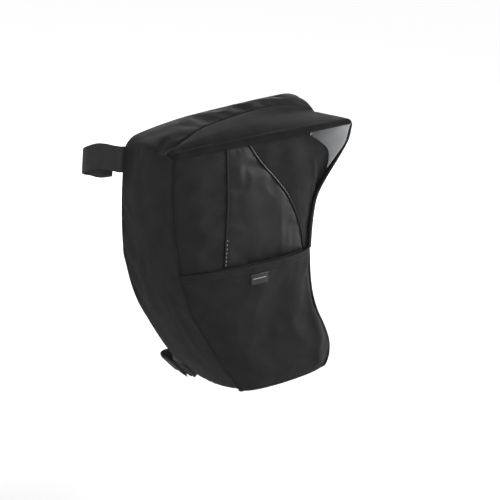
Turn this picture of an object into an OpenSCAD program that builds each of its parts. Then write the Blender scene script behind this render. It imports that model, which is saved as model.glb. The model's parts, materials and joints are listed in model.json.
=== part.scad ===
// Soft side bag for a motorcycle tank or crash bar, with a hinged rain hood, a slip pocket and two strap loops.
// X runs to the bag's right, Y to the motorcycle and Z up. The origin is the middle of the anti-slip pad on the back.

/* [Bag] */
// Overall width of the bag's body, across the back panel
bag_w = 216; // [190:1:260]
// Overall height of the bag's body
bag_h = 283; // [250:1:340]
// Depth from the back panel to the seam of the front panel
bag_d = 93; // [80:1:120]
// How far the padded front panel bulges past its seams
front_crown = 8; // [3:0.5:14]
// How far the padded side strip bulges outwards
side_bulge = 2.5; // [0:0.5:6]

/* [Walls] */
// Thickness of the woven outer fabric
skin_t = 1.2; // [0.8:0.1:2]
// Thickness of the foam inside the walls
foam_t = 4; // [2:0.5:6]
// Thickness of the grey lining
lining_t = 0.8; // [0.5:0.1:1.5]
// Thickness of the foam inside the hood
hood_foam_t = 1.5; // [1:0.1:2]
// Thickness of the stiff board in the back
board_t = 1.5; // [1:0.1:2.5]
// Thickness of the anti-slip pad on the back
pad_t = 1.8; // [1.6:0.1:3]
// Distance from the edge of the back to the edge of the anti-slip pad
pad_inset = 26; // [18:1:34]
// Distance from the edge of the back to the edge of the stiff board
board_inset = 12; // [9:1:13]

/* [Mouth] */
// Width of the fabric facing that is turned in around the mouth
facing_w = 18; // [12:1:24]
// Drop of the facing below the panel's edge
facing_drop = 1.6; // [1.5:0.1:3]
// Thickness of the facing
facing_t = 1; // [0.8:0.1:1.5]
// Width of the hook and loop strips that close the hood
closure_w = 12; // [8:1:13]
// Thickness of each hook or loop strip
closure_t = 1; // [0.8:0.1:1.2]
// Depth of the fixed side strip behind the hood's wing
strip_d = 30; // [22:1:40]
// Gap all round the moving hood
hood_gap = 0.5; // [0.4:0.1:1]
// Width of the tape that binds the wing's front edge
wing_binding_w = 2.5; // [2:0.5:5]

/* [Pocket] */
// Height of the pocket's mouth above the origin
hem_z = 4.5; // [-10:0.5:15]
// How far the middle of the pocket's mouth stands open
pocket_gape = 8; // [7.5:0.5:12]
// Height of the folded hem along the pocket's mouth
hem_h = 8; // [5:0.5:12]
// Width of the blank label under the hem
label_w = 20; // [12:1:30]
// Height of the blank label
label_h = 9; // [6:1:14]

/* [Trim] */
// How far the bound seam stands out along the bottom and the lower right
binding_w = 2.6; // [2:0.1:4]
// Diameter of the piping along the coated insert
piping_d = 1.6; // [1.2:0.1:2.4]

/* [Straps] */
// Width of the webbing
web_w = 25; // [20:1:30]
// Thickness of the webbing
web_t = 1.6; // [1.2:0.1:2.2]
// How far each strap loop reaches from its seam
loop_len = 38; // [34:1:60]
// Clear width inside the upper strap loop
loop_gap = 15; // [12:0.5:20]
// Clear width inside the lower strap loop, which is flatter
lower_gap = 9; // [8:0.5:20]
// Length of the hook patch at the tail of each strap
patch_len = 10; // [6:1:11]
// Length of the webbing sewn to the back at each strap's root
root_len = 18; // [12:1:20]
// How far the upper strap's middle lies below the corner of the bag's shoulder
upper_strap_down = 8; // [7:1:24]
// How much lower the upper strap comes back than it went out
upper_drop = 9; // [0:0.5:12]
// How much higher the lower strap comes back than it went out
lower_drop = 3; // [0:0.5:10]

/* [Hidden] */

// The paper pattern that the outlines below were drawn on: its width, height and depth, and its hem
pattern_w = 216;
pattern_h = 283;
pattern_d = 93;
pattern_hem = 4.5;

wall_t = skin_t + foam_t + lining_t;
back_t = pad_t + skin_t + foam_t + lining_t;
hood_t = skin_t + hood_foam_t + lining_t;
wing_t = skin_t + hood_foam_t / 2 + lining_t;
seam_y = -(pad_t + skin_t);

black = "#26272a";
coated = "#303134";
grey = "#b9bbbd";
dark = "#1b1c1e";

// Outlines as [x, z] on the pattern. The lower lists run up to the hem and the upper lists on from it.
LEFT_FRONT_LOW = [[-31, -125], [-50, -96], [-69, -64], [-85, -35], [-97, 4.5]];
LEFT_REAR_LOW = [[-28, -138], [-55, -108], [-77, -73], [-95, -38], [-106, 4.5]];
LEFT_FRONT_UP = [[-97, 4.5], [-101, 33], [-103, 62], [-103, 90], [-101, 116]];
LEFT_REAR_UP = [[-106, 4.5], [-107, 31], [-106.5, 57], [-105, 81], [-103, 104]];
RIGHT_FRONT_LOW = [[77, -123], [82, -106], [74.5, -82], [62.5, -55], [57, -25], [55.5, 4.5]];
RIGHT_REAR_LOW = [[80, -138], [94, -112], [87, -82], [75, -54], [68, -24], [66, 4.5]];
RIGHT_FRONT_UP = [[55.5, 4.5], [57.5, 33], [61.5, 58], [74, 81], [76, 103], [50, 122]];
BOTTOM_FRONT = [[-31, -125], [-10, -128], [14, -129], [38, -128.5], [62, -126.5], [77, -123]];
BOTTOM_REAR = [[-28, -138], [-10, -140], [14, -141], [38, -141], [62, -140.5], [80, -138]];
SHOULDER_REAR = [[-103, 104], [-99, 114], [-91, 120.5], [-80, 123.5]];
TOP_REAR = [[-80, 123.5], [-48, 130], [-16, 134], [16, 137], [46, 139.5], [76, 141.5], [97, 141], [107, 132]];
SIDE_REAR = [[107, 132], [109, 117], [103, 101], [92, 85], [82, 70], [74, 52], [69, 30], [66, 5.2]];

// Seams that leave the front plane, as [x, y, z]: the hood's seam, and the front edge of the fixed side strip
HOOD_SEAM = [[-102, -80, 117], [-70, -63, 126.5], [-36, -46, 131], [-2, -37, 134], [33, -31, 137],
             [66, -28, 137], [90, -29, 133], [104, -33, 126.5]];
MOUTH_END_Y = -33; // where the fixed side strip starts at the top, behind the hood's end
SIDE_SEAM_XZ = [[104, 126.5], [106, 114], [101, 99], [90, 83], [80, 69], [72.5, 51], [67.5, 30], [64.5, 5.2]];
HOOD_TIP_XZ = [101, 125]; // the front of the hood at its right end

// Seams across the upper front, as x at the hem and at the top, with a point between for the curved one
INSERT_LEFT = [-52, -47, -46];
INSERT_RIGHT = [48, 22, -21];

// Grid of the panels
rows_low = 8;
rows_up = 9;
rows = rows_low + rows_up;
cols_left = 3;
cols_insert = 5;
cols_right = 4;
cols = cols_left + cols_insert + cols_right;
depth_cells = 4;
shoulder_n = 3;
top_n = 10;
side_n = 8;

// ---------- general functions ----------
function mix(a, b, t) = a + (b - a) * t;
function unit(v) = v / max(norm(v), 1e-9);
function clamp01(t) = min(max(t, 0), 1);
function along(p, t) = // smooth curve through the points of p
  let (n = len(p) - 1, x = clamp01(t) * n, i = min(floor(x), n - 1), f = x - i,
       a = p[max(i - 1, 0)], b = p[i], c = p[i + 1], d = p[min(i + 2, n)])
  0.5 * (2 * b + (c - a) * f + (2 * a - 5 * b + 4 * c - d) * f * f + (3 * b - a - 3 * c + d) * f * f * f);
function inward(v) = unit([v.z, 0, -v.x]); // turns a direction along the outline into the one into the bag

// A point of the pattern at the bag's real size. The hem keeps its own height.
function scale_z(z) = let (low = -pattern_h / 2, high = pattern_h / 2,
    low_real = -bag_h / 2, high_real = bag_h / 2)
  z < pattern_hem ? low_real + (z - low) * (hem_z - low_real) / (pattern_hem - low)
                  : hem_z + (z - pattern_hem) * (high_real - hem_z) / (high - pattern_hem);
function real_x(x) = x * bag_w / pattern_w;
function real_y(y) = y * bag_d / pattern_d;
function flat2(p) = [real_x(p.x), scale_z(p.y)];

// ---------- front panel ----------
// t runs from 0 at the bottom through 1 at the hem to 2 at the top, and s from 0 at the left to 1 at the right.
// The last row under the hem line is as high as the folded hem.
hem_share = hem_h / (hem_z + bag_h / 2 - 9);
function t_row(i) = i < rows_low ? (1 - hem_share) * i / (rows_low - 1) : 1 + (i - rows_low) / rows_up;
function left_edge(t) = t <= 1 ? along(LEFT_FRONT_LOW, t) : along(LEFT_FRONT_UP, t - 1);
function right_edge(t) = t <= 1 ? along(RIGHT_FRONT_LOW, t) : along(RIGHT_FRONT_UP, t - 1);
function front_xz(s, t) =
  mix(left_edge(t), right_edge(t), s)
  + pow(1 - t / 2, 3) * (along(BOTTOM_FRONT, s) - mix(left_edge(0), right_edge(0), s));
function rise(s, w, p) = 1 - pow(1 - clamp01(s / w), p);
function front_y(s, t) =
  -(bag_d - mix(0, 4, s) - 3 * s * (1 - rise(abs(t - 1), 0.6, 2))
    + front_crown * rise(s, 0.35, 2) * rise(1 - s, 0.3, 2.2) * rise(t, 0.4, 2)
      * (t < 1 ? 1 : 1 - 0.55 * (t - 1)));
function front_at(s, t) = let (p = flat2(front_xz(s, t))) [p.x, front_y(s, t), p.y];

// The seams of the insert fix the columns above the hem, and below it the columns spread out evenly.
function insert_left_x(t) = along(INSERT_LEFT, t - 1);
function insert_right_x(t) = along(INSERT_RIGHT, t - 1);
function share(x, t) = let (a = left_edge(t).x, b = right_edge(t).x) (x - a) / (b - a);
function s_upper(j, t) =
  let (a = share(insert_left_x(t), t), b = share(insert_right_x(t), t))
  j <= cols_left ? a * j / cols_left
  : j <= cols_left + cols_insert ? mix(a, b, (j - cols_left) / cols_insert)
  : mix(b, 1, (j - cols_left - cols_insert) / cols_right);
function s_col(j, t) = t >= 1 ? s_upper(j, t) : mix(j / cols, s_upper(j, 1), t * t);
function front_point(i, j) = let (t = t_row(i)) front_at(s_col(j, t), t);
function front_normal(i, j) = // into the bag
  let (a = front_point(max(i - 1, 0), j), b = front_point(min(i + 1, rows), j),
       c = front_point(i, max(j - 1, 0)), d = front_point(i, min(j + 1, cols)))
  unit(cross(b - a, d - c));

// ---------- stations round the bag ----------
// Each station is [rear point, front point, how far its front seam is mitred with the front panel].
function rear3(p) = let (q = flat2(p)) [q.x, seam_y, q.y];
function rear_low(list, t) = rear3(along(list, t));
function hood_seam(u) = let (p = along(HOOD_SEAM, u), q = flat2([p.x, p.z])) [q.x, real_y(p.y), q.y];
function side_seam(u) = let (q = flat2(along(SIDE_SEAM_XZ, u)))
  [q.x, mix(real_y(MOUTH_END_Y), -strip_d, min(1, u * 4)), q.y];
corner_row = front_point(rows, 0);
STATIONS = concat(
  [for (i = [rows_low:-1:1]) [rear_low(RIGHT_REAR_LOW, t_row(i)), front_point(i, cols), 1]],
  [for (j = [cols:-1:1]) [rear_low(BOTTOM_REAR, j / cols), front_point(0, j), 1]],
  [for (i = [0:rows_low]) [rear_low(LEFT_REAR_LOW, t_row(i)), front_point(i, 0), 1]],
  [for (i = [rows_low + 1:rows]) [rear_low(LEFT_REAR_UP, t_row(i) - 1), front_point(i, 0), 1]],
  [for (k = [1:shoulder_n]) let (u = k / shoulder_n, f = mix(0.9, 1, (k - 1) / (shoulder_n - 1)))
    [rear_low(SHOULDER_REAR, u), mix(corner_row, hood_seam(0), f), 1 - f]],
  [for (k = [1:top_n]) let (u = k / top_n) [rear_low(TOP_REAR, u), hood_seam(u), 0]],
  [for (k = [1:side_n]) let (u = k / side_n) [rear_low(SIDE_REAR, u), side_seam(u), 0]]);
station_n = len(STATIONS);
tip_k = rows_low + cols;                 // the station at the bottom tip
left_k = tip_k;                          // first station of the left seam
hood_k = left_k + rows + shoulder_n;     // the station where the hood's seam starts
function station_in(k) =
  let (a = STATIONS[max(k - 1, 0)], b = STATIONS[min(k + 1, station_n - 1)],
       along_edge = (b[0] - a[0]) + (b[1] - a[1]))
  inward([along_edge.x, 0, along_edge.z]);
INWARD = [for (k = [0:station_n - 1]) station_in(k)];
// At the front seam the direction differs at the shoulder, where the seam runs back along the top of the left side.
FRONT_IN = [for (k = [0:station_n - 1])
  k > left_k + rows && k <= hood_k ? 1.2 * unit([1, 0, 0] + INWARD[hood_k + 1]) : INWARD[k]];
function mitre(k) = FRONT_IN[k] + [0, STATIONS[k][2], 0];

// The side strip at station k, share v from the back seam to the front seam, and depth t into the wall
function gusset_at(k, v, t) =
  mix(STATIONS[k][0], STATIONS[k][1], v)
  - INWARD[k] * side_bulge * pow(4 * v * (1 - v), 2)
  + t * (mix(INWARD[k], FRONT_IN[k], v * v) + [0, pow(v, 4) * STATIONS[k][2], 0]);
function gusset_grid(k0, k1, t) =
  [for (k = [k0:k1]) [for (v = [0:depth_cells]) gusset_at(k, v / depth_cells, t)]];

// The direction into the wall at each corner of the front grid: mitred along the seams, square to it elsewhere
function front_in(i, j) =
  j == 0 ? mitre(left_k + i)
  : i == 0 ? mitre(left_k - j)
  : i > rows_low ? front_normal(i, j)
  : j == cols ? mitre(rows_low - i)
  : mix(front_normal(i, j), mitre(rows_low - i), // the columns crowd together towards the right seam
        max(0, 1 - norm(front_point(i, cols) - front_point(i, j)) / (3 * wall_t)));
function front_grid(i0, i1, j0, j1, t) =
  [for (i = [i0:i1]) [for (j = [j0:j1]) front_point(i, j) + t * front_in(i, j)]];

// ---------- general solids ----------
// A sheet between two grids of the same size. The first is the outer one: seen from outside, its columns
// run to the right of its rows.
module sheet(a, b) {
  n = len(a); m = len(a[0]);
  function id(i, j, s) = s * n * m + i * m + j;
  faces = concat(
    [for (i = [0:n - 2], j = [0:m - 2]) each
      [[id(i, j, 0), id(i + 1, j + 1, 0), id(i, j + 1, 0)], [id(i, j, 0), id(i + 1, j, 0), id(i + 1, j + 1, 0)],
       [id(i, j, 1), id(i, j + 1, 1), id(i + 1, j + 1, 1)], [id(i, j, 1), id(i + 1, j + 1, 1), id(i + 1, j, 1)]]],
    [for (i = [0:n - 2]) each
      [[id(i, 0, 0), id(i, 0, 1), id(i + 1, 0, 1)], [id(i, 0, 0), id(i + 1, 0, 1), id(i + 1, 0, 0)],
       [id(i, m - 1, 0), id(i + 1, m - 1, 1), id(i, m - 1, 1)],
       [id(i, m - 1, 0), id(i + 1, m - 1, 0), id(i + 1, m - 1, 1)]]],
    [for (j = [0:m - 2]) each
      [[id(0, j, 0), id(0, j + 1, 1), id(0, j, 1)], [id(0, j, 0), id(0, j + 1, 0), id(0, j + 1, 1)],
       [id(n - 1, j, 0), id(n - 1, j, 1), id(n - 1, j + 1, 1)],
       [id(n - 1, j, 0), id(n - 1, j + 1, 1), id(n - 1, j + 1, 0)]]]);
  polyhedron([for (g = [a, b]) each [for (row = g) each row]], faces);
}

// A bar swept through rings of the same number of corners
module bar(rings) {
  n = len(rings); m = len(rings[0]);
  faces = concat(
    [for (i = [0:n - 2], j = [0:m - 1]) each let (q = (j + 1) % m)
      [[i * m + j, i * m + q, (i + 1) * m + q], [i * m + j, (i + 1) * m + q, (i + 1) * m + j]]],
    [[for (j = [m - 1:-1:0]) j]], [[for (j = [0:m - 1]) (n - 1) * m + j]]);
  polyhedron([for (r = rings) each r], faces);
}

// ---------- hood ----------
// The hood folds along a nearly straight line, and turns about the straight line just above it.
hinge_lift = 3;
fold_out = 1.5; // from the hood's seam to the fold, at both ends
fold_left = hood_seam(0) + [0, -fold_out, hood_t + 0.5];
fold_right = hood_seam(1) + [0, -fold_out, 0];
hinge_left = fold_left + [0, 0, hinge_lift];
hinge_right = fold_right + [0, 0, hinge_lift];
function fold_line(u) = mix(fold_left, fold_right, u) + [0, 0, (hinge_lift - 0.2) * 4 * u * (1 - u)];
hood_tip = flat2(HOOD_TIP_XZ);
lip_clear = 0.5; // from the panel's top edge up to the hood's lip
lip_front = 3;   // from the front seam forward to the hood's lip
lip_in = 6;      // how far back the lip starts to turn down
lip_start = 0.86;
lip_drop = hood_t + lip_clear;
function lip(u) = // lower edge of the hood's front
  [mix(corner_row.x - 1, hood_tip.x, u), -(bag_d + lip_front + 2 * sin(180 * u)),
   mix(corner_row.z + lip_clear, hood_tip.y, u)];
// u runs along the hood from left to right, and r from the fold at 0 to the lower edge of the lip at 1.
function lip_share(r) = clamp01((r - lip_start) / (1 - lip_start));
function hood_at(u, r) =
  let (a = fold_line(u), b = lip(u), q = min(r / lip_start, 1), turn = 90 * lip_share(r))
  [mix(a.x, b.x, r), mix(mix(a.y, b.y + lip_in, q), b.y, sin(turn)),
   mix(a.z, b.z + lip_drop, q) - lip_drop * (1 - cos(turn))];
function hood_in(u, r) = // into the hood: down, turning back at the lip, and mitred with the wing at the right end
  let (turn = 90 * lip_share(r)) [u > 0.99 ? -1 : 0, sin(turn), -cos(turn)];
closure_in = 2; // from the front wall's inner face to the strips that close the hood
closure_y = -(bag_d + front_crown * 0.45 - wall_t - closure_in);
function row_at(u, y) = // the row of the hood that lies over depth y
  let (a = fold_line(u).y, b = lip(u).y + lip_in) lip_start * (a - y) / max(a - b, 1);
function hood_rows(u) =
  let (h1 = min(max(row_at(u, closure_y + closure_w), 0.12), 0.6), h2 = min(max(row_at(u, closure_y), h1 + 0.1), 0.78))
  [0, h1, h2, lip_start, 0.95, 1];
hood_cells = 5;
function hood_grid(k0, k1, r0, r1, t) =
  [for (k = [k0:k1]) let (u = k / top_n, rr = hood_rows(u))
    [for (r = [r0:r1]) hood_at(u, rr[r]) + t * hood_in(u, rr[r]) - [0, r == 0 ? hood_gap / 2 : 0, 0]]];

// The wing hangs from the hood's right end. w runs from the hood at 0 down to the wing's lower end at 1.
WING_FRONT = [[101, -96, 125], [98, -94.5, 109], [86.5, -92.5, 91], [74, -91, 74], [64.6, -90, 55],
              [61, -89.5, 31], [59, -89.5, 7]];
wing_rows = 9;
wing_low = hem_z + 2.5;
function wing_front(w) = let (p = along(WING_FRONT, w), q = flat2([p.x, p.z])) [q.x, real_y(p.y), max(q.y, wing_low)];
function wing_back(w) = let (p = side_seam(w)) [p.x + 0.4, p.y - hood_gap - 0.3, max(p.z, wing_low)];
function wing_at(w, v) =
  let (r = hood_rows(1)[v])
  w == 0 ? hood_at(1, r) - [0, v == 0 ? hood_gap / 2 : 0, 0]
  : mix(wing_back(w), wing_front(w), mix(r, v / hood_cells, min(1, 2 * w)))
    + [sin(180 * v / hood_cells) * sin(180 * w) * side_bulge, 0, 0];
function wing_in(w, v) = w == 0 ? hood_in(1, hood_rows(1)[v]) : unit([-1, 0, -0.25 * (1 - w)]);
function wing_grid(t) =
  [for (k = [0:wing_rows]) let (w = k / wing_rows) [for (v = [0:hood_cells]) wing_at(w, v) + t * wing_in(w, v)]];

// ---------- back ----------
module back_plate(inset, y0, y1) { // inset square to the edge
  translate([0, y1, 0]) rotate([90, 0, 0]) linear_extrude(y1 - y0)
    polygon([for (k = [0:station_n - 1]) let (p = STATIONS[k][0] + INWARD[k] * inset) [p.x, p.z]]);
}
module back_patch(inset, y0, y1) { // inset towards the middle
  translate([0, y1, 0]) rotate([90, 0, 0]) linear_extrude(y1 - y0)
    polygon([for (s = STATIONS) let (p = [s[0].x, s[0].z]) p * (1 - inset / norm(p))]);
}
foam_inset = wall_t + 1;
foam_y = seam_y - foam_t;
module back_panel() { color(black) back_plate(0, seam_y, -pad_t); }
module back_pad() { color(dark) back_patch(pad_inset, -pad_t, 0); }
module back_foam() {
  color(dark) difference() {
    back_plate(foam_inset, foam_y, seam_y);
    back_plate(board_inset, foam_y - 1, foam_y + board_t);
  }
}
module back_board() { color("#4a4b4d") back_plate(board_inset, foam_y, foam_y + board_t); }
module back_lining() { color(grey) back_plate(foam_inset, foam_y - lining_t, foam_y); }

// ---------- side strip ----------
module gusset_layer(k0, k1, t0, t1) { sheet(gusset_grid(k0, k1, t0), gusset_grid(k0, k1, t1)); }
module gusset_upper() { color(black) gusset_layer(left_k, station_n - 1, 0, skin_t); }
module gusset_base() { color(black) gusset_layer(0, left_k, 0, skin_t); }
module gusset_foam() { color(dark) gusset_layer(0, station_n - 1, skin_t, skin_t + foam_t); }
module gusset_lining() { color(grey) gusset_layer(0, station_n - 1, skin_t + foam_t, wall_t); }

// ---------- front ----------
insert_l = cols_left;
insert_r = cols_left + cols_insert;
module front_layer(i0, i1, j0, j1, t0, t1) { sheet(front_grid(i0, i1, j0, j1, t0), front_grid(i0, i1, j0, j1, t1)); }
module front_left() { color(black) front_layer(rows_low, rows, 0, insert_l, 0, skin_t); }
module front_insert() { color(coated) front_layer(rows_low, rows, insert_l, insert_r, 0, skin_t); }
module front_right() { color(black) front_layer(rows_low, rows, insert_r, cols, 0, skin_t); }
module front_base() { color(black) front_layer(0, rows_low, 0, cols, 0, skin_t); }
module front_foam() { color(dark) front_layer(0, rows, 0, cols, skin_t, skin_t + foam_t); }
module front_lining() { color(grey) front_layer(0, rows, 0, cols, skin_t + foam_t, wall_t); }

// ---------- pocket ----------
// The pocket is sewn into the left, bottom and right seams and stands off the panel at its mouth.
function on_seam(i, j) = i == 0 || j == 0 || j == cols;
function pocket_gap(i, j) = let (t = t_row(i), s = s_col(j, t), up = clamp01((t - 0.35) / 0.65))
  on_seam(i, j) ? 0 : pocket_gape * pow(sin(180 * s), 1.5) * up * up;
function pocket_point(i, j, t) =
  front_point(i, j) + (on_seam(i, j) ? [0, -1, 0] : -front_normal(i, j)) * (pocket_gap(i, j) + t);
function pocket_grid(i0, i1, t) = [for (i = [i0:i1]) [for (j = [0:cols]) pocket_point(i, j, t)]];
hem_t = 0.8;
module pocket_panel() { color(black) sheet(pocket_grid(0, rows_low, skin_t), pocket_grid(0, rows_low, 0)); }
module pocket_hem() {
  color(black) sheet(pocket_grid(rows_low - 1, rows_low, skin_t + hem_t), pocket_grid(rows_low - 1, rows_low, skin_t));
}
label_t = 0.6;
label_stand = 0.3; // the label is only sewn to the hem, and hangs clear of the pocket
label_col = 4;
label_shift = 8; // from that column to the label's left edge
module pocket_label() {
  top = pocket_point(rows_low - 1, label_col, skin_t);
  down = unit(pocket_point(rows_low - 2, label_col, skin_t) - top);
  right = unit(pocket_point(rows_low - 1, label_col + 1, skin_t) - top);
  out = unit(cross(down, right));
  corner = top + down * 0.3 + right * label_shift;
  function face(stand) = [for (d = [1, 0]) [for (r = [0, 1]) corner + down * label_h * d + right * label_w * r + out * stand]];
  color(dark) sheet(face(label_stand + label_t), face(label_stand));
}

// ---------- trim ----------
binding_back = 1.6;    // how far the bound seam reaches back over the side strip
trim_stand = 0.05;     // between a trim and the fabric under it
module edge_binding() {
  color(dark) bar([for (k = [0:tip_k])
    let (out = -INWARD[k], f = STATIONS[k][1] + out * trim_stand, a = f - [0, skin_t, 0],
         b = f + unit(gusset_at(k, 1 - 1 / depth_cells, 0) - STATIONS[k][1]) * binding_back)
    [a + out * binding_w, f + out * binding_w, b + out * binding_w, b, f, a]]);
}
module piping(j) {
  r = piping_d / 2;
  function at(i) = i == rows_low ? mix(front_point(i, j), front_point(i + 1, j), 0.25)
                 : i == rows ? mix(front_point(i, j), front_point(i - 1, j), 0.2) : front_point(i, j);
  bar([for (i = [rows_low:rows])
    let (n = front_normal(i, j), side = unit(cross(at(min(i + 1, rows)) - at(max(i - 1, rows_low)), n)),
         c = at(i) - n * (r + trim_stand))
    [for (q = [0:5]) c + r * (cos(60 * q) * side + sin(60 * q) * n)]]);
}
module piping_left() { color("#8d8f92") piping(insert_l); }
module piping_right() { color("#8d8f92") piping(insert_r); }

// ---------- mouth ----------
// The facing follows the top edge of the front panel and turns down its right edge: [row, column] of each
// corner of the rim, and of the corner that lies further in.
RIM = concat([for (j = [1:cols - 1]) [rows, j, rows - 1, j]], [[rows, cols, rows - 1, cols - 1]],
             [for (i = [rows - 1:-1:rows_low + 2]) [i, cols, i, cols - 1]]);
function wall_in(i, j) = front_point(i, j) + (wall_t + 0.1) * front_in(i, j);
function rim_at(q, drop) = let (a = wall_in(q[0], q[1])) a + unit(wall_in(q[2], q[3]) - a) * drop;
module rim_bar(n0, n1, drop0, drop1, y0, y1) {
  bar([for (n = [n0:n1]) let (a = rim_at(RIM[n], drop0), b = rim_at(RIM[n], drop1))
    [a + [0, y0, 0], a + [0, y1, 0], b + [0, y1, 0], b + [0, y0, 0]]]);
}
loop_first = 1;
loop_last = cols - 2;
module mouth_facing() { color(grey) rim_bar(0, len(RIM) - 1, facing_drop, facing_drop + facing_t, 0, facing_w); }
module loop_strip() {
  color(dark) rim_bar(loop_first, loop_last, facing_drop - closure_t, facing_drop, closure_in, closure_in + closure_w);
}

// ---------- hood parts ----------
hook_first = 2;
hook_last = 7;
function yoke_row(k, t) =
  let (back = STATIONS[hood_k + k][1] + t * FRONT_IN[hood_k + k],
       front = fold_line(k / top_n) + [0, hood_gap / 2, 0] + t * hood_in(k / top_n, 0))
  [for (v = [0:2]) mix(back + unit(front - back) * 0.2, front, v / 2)];
module hood_yoke() {
  color(black) sheet([for (k = [0:top_n]) yoke_row(k, 0)], [for (k = [0:top_n]) yoke_row(k, hood_t)]);
}
module hood_layer(k0, k1, r0, r1, t0, t1) { sheet(hood_grid(k0, k1, r0, r1, t0), hood_grid(k0, k1, r0, r1, t1)); }
module hood_top() { color(black) hood_layer(0, top_n, 0, hood_cells, 0, skin_t); }
module hood_padding() { color(dark) hood_layer(0, top_n, 0, hood_cells, skin_t, skin_t + hood_foam_t); }
module hood_lining() { color(grey) hood_layer(0, top_n, 0, hood_cells, skin_t + hood_foam_t, hood_t); }
module hook_strip() { color(dark) hood_layer(hook_first, hook_last, 1, 2, hood_t, hood_t + closure_t); }
module hood_wing() { color(black) sheet(wing_grid(0), wing_grid(skin_t)); }
module wing_lining() { color(grey) sheet(wing_grid(skin_t), wing_grid(wing_t)); }
module wing_binding() {
  outer = wing_grid(0);
  inner = wing_grid(wing_t);
  ahead = [0, -wing_binding_w, 0];
  color(dark) bar([for (k = [1:wing_rows]) let (a = outer[k][hood_cells], b = inner[k][hood_cells])
    [a, b, b + ahead, a + ahead]]);
}

// ---------- strap loops ----------
// A loop is drawn as [share of its length, way across, share of its drop]: out from the root, round, and back.
tail_way = web_t + 2 * closure_t + 0.3;
function loop(gap) = let (m = tail_way / 2)
  [[0, 0, 0], [0.2, 0, -0.05], [0.42, -0.5, -0.15], [0.62, m - gap * 0.42, -0.21], [0.84, m - gap * 0.47, 0.05],
   [1, m, 0.35],
   [0.84, m + gap * 0.47, 0.6], [0.62, m + gap * 0.42, 0.95], [0.42, tail_way + 0.5, 0.85], [0.2, tail_way, 0.62]];
root_gap = 1.6;                          // from the line where a strap turns to where it starts
hinge_out = 1.2;                         // from the seam of the back to that line
root_t = min(web_t, pad_t - 0.2);        // the sewn-down webbing lies lower than the pad
hinge_y = root_t / 2 - pad_t;
// A frame is [root, way out, way across, way along the webbing's width, drop, way into the bag, shape, gap].
function frame(seam, width, across, drop, gap) =
  let (w = unit(width), c = unit(across - w * (across * w)), into = [-w.z, 0, w.x] * (w.z > 0 ? -1 : 1))
  [[seam.x, hinge_y, seam.z] - into * hinge_out, cross(w, c), c, w, drop, into, loop(gap), gap];
function seam_slope(list, t) = let (a = rear_low(list, t - 0.1), b = rear_low(list, t + 0.1)) b - a;
upper_t = 1 - upper_strap_down / (scale_z(LEFT_REAR_UP[len(LEFT_REAR_UP) - 1].y) - hem_z);
UPPER = frame(rear_low(LEFT_REAR_UP, upper_t), seam_slope(LEFT_REAR_UP, min(upper_t, 0.9)), [1, 1, 0], upper_drop,
              loop_gap);
lower_t = 0.05;
lower_way = -seam_slope(LEFT_REAR_LOW, lower_t + 0.05);
LOWER = frame(rear_low(LEFT_REAR_LOW, lower_t), lower_way, [-1, 0, -1], lower_drop, lower_gap);
function loop_path(f, u) =
  let (p = along(f[6], u)) f[0] + f[1] * (root_gap + p.x * (loop_len - root_gap)) + f[2] * p.y - f[3] * (p.z * f[4]);
function loop_ring(f, u, n0, n1, wide) = // a cut across the webbing, between n0 and n1 outwards from its middle
  let (way = loop_path(f, min(1, u + 0.004)) - loop_path(f, max(0, u - 0.004)),
       n = unit(cross(f[3], way)), c = loop_path(f, u), w = f[3] * wide / 2)
  [c - w + n * n0, c + w + n * n0, c + w + n * n1, c - w + n * n1];
module loop_bar(f, list, n0, n1, wide) { bar([for (u = list) loop_ring(f, u, n0, n1, wide)]); }
bend_u = 5 / 9;
function bend_gap(f) = 0.007 * max(1, 15 / f[7]); // a tighter bend needs a wider gap
patch_share = patch_len / loop_len / 1.9;
patch_mid = 0.19;
LEG_PATCH = [for (q = [-0.5, 0, 0.5]) patch_mid + q * patch_share];
TAIL_PATCH = [for (q = [1, 0.5, 0]) 1 - q * patch_share];
function leg_u(f) = concat([0], LEG_PATCH, [for (i = [1:9]) mix(LEG_PATCH[2], bend_u - bend_gap(f), i / 9)]);
function tail_u(f) = concat([for (i = [0:8]) mix(bend_u + bend_gap(f), TAIL_PATCH[0], i / 9)], TAIL_PATCH);
module strap_root(f) {
  y0 = [0, -root_t / 2, 0];
  side = f[3].z > 0 ? 1 : -1;
  function row(x, y) = [for (q = [-side, side]) f[0] + f[5] * x + f[3] * (q * web_w / 2) + y];
  sheet([row(0.5, -y0), row(root_len, -y0)], [row(0.5, y0), row(root_len, y0)]);
}
module upper_root() { color(dark) strap_root(UPPER); }
module upper_strap() { color(black) loop_bar(UPPER, leg_u(UPPER), -web_t / 2, web_t / 2, web_w); }
module upper_loop_patch() { color(dark) loop_bar(UPPER, LEG_PATCH, -web_t / 2 - closure_t, -web_t / 2, web_w - 3); }
module upper_tail() { color(black) loop_bar(UPPER, tail_u(UPPER), -web_t / 2, web_t / 2, web_w); }
module upper_hook_patch() { color(dark) loop_bar(UPPER, TAIL_PATCH, -web_t / 2 - closure_t, -web_t / 2, web_w - 3); }
module lower_root() { color(dark) strap_root(LOWER); }
module lower_strap() { color(black) loop_bar(LOWER, leg_u(LOWER), -web_t / 2, web_t / 2, web_w); }
module lower_loop_patch() { color(dark) loop_bar(LOWER, LEG_PATCH, -web_t / 2 - closure_t, -web_t / 2, web_w - 3); }
module lower_tail() { color(black) loop_bar(LOWER, tail_u(LOWER), -web_t / 2, web_t / 2, web_w); }
module lower_hook_patch() { color(dark) loop_bar(LOWER, TAIL_PATCH, -web_t / 2 - closure_t, -web_t / 2, web_w - 3); }

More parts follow.
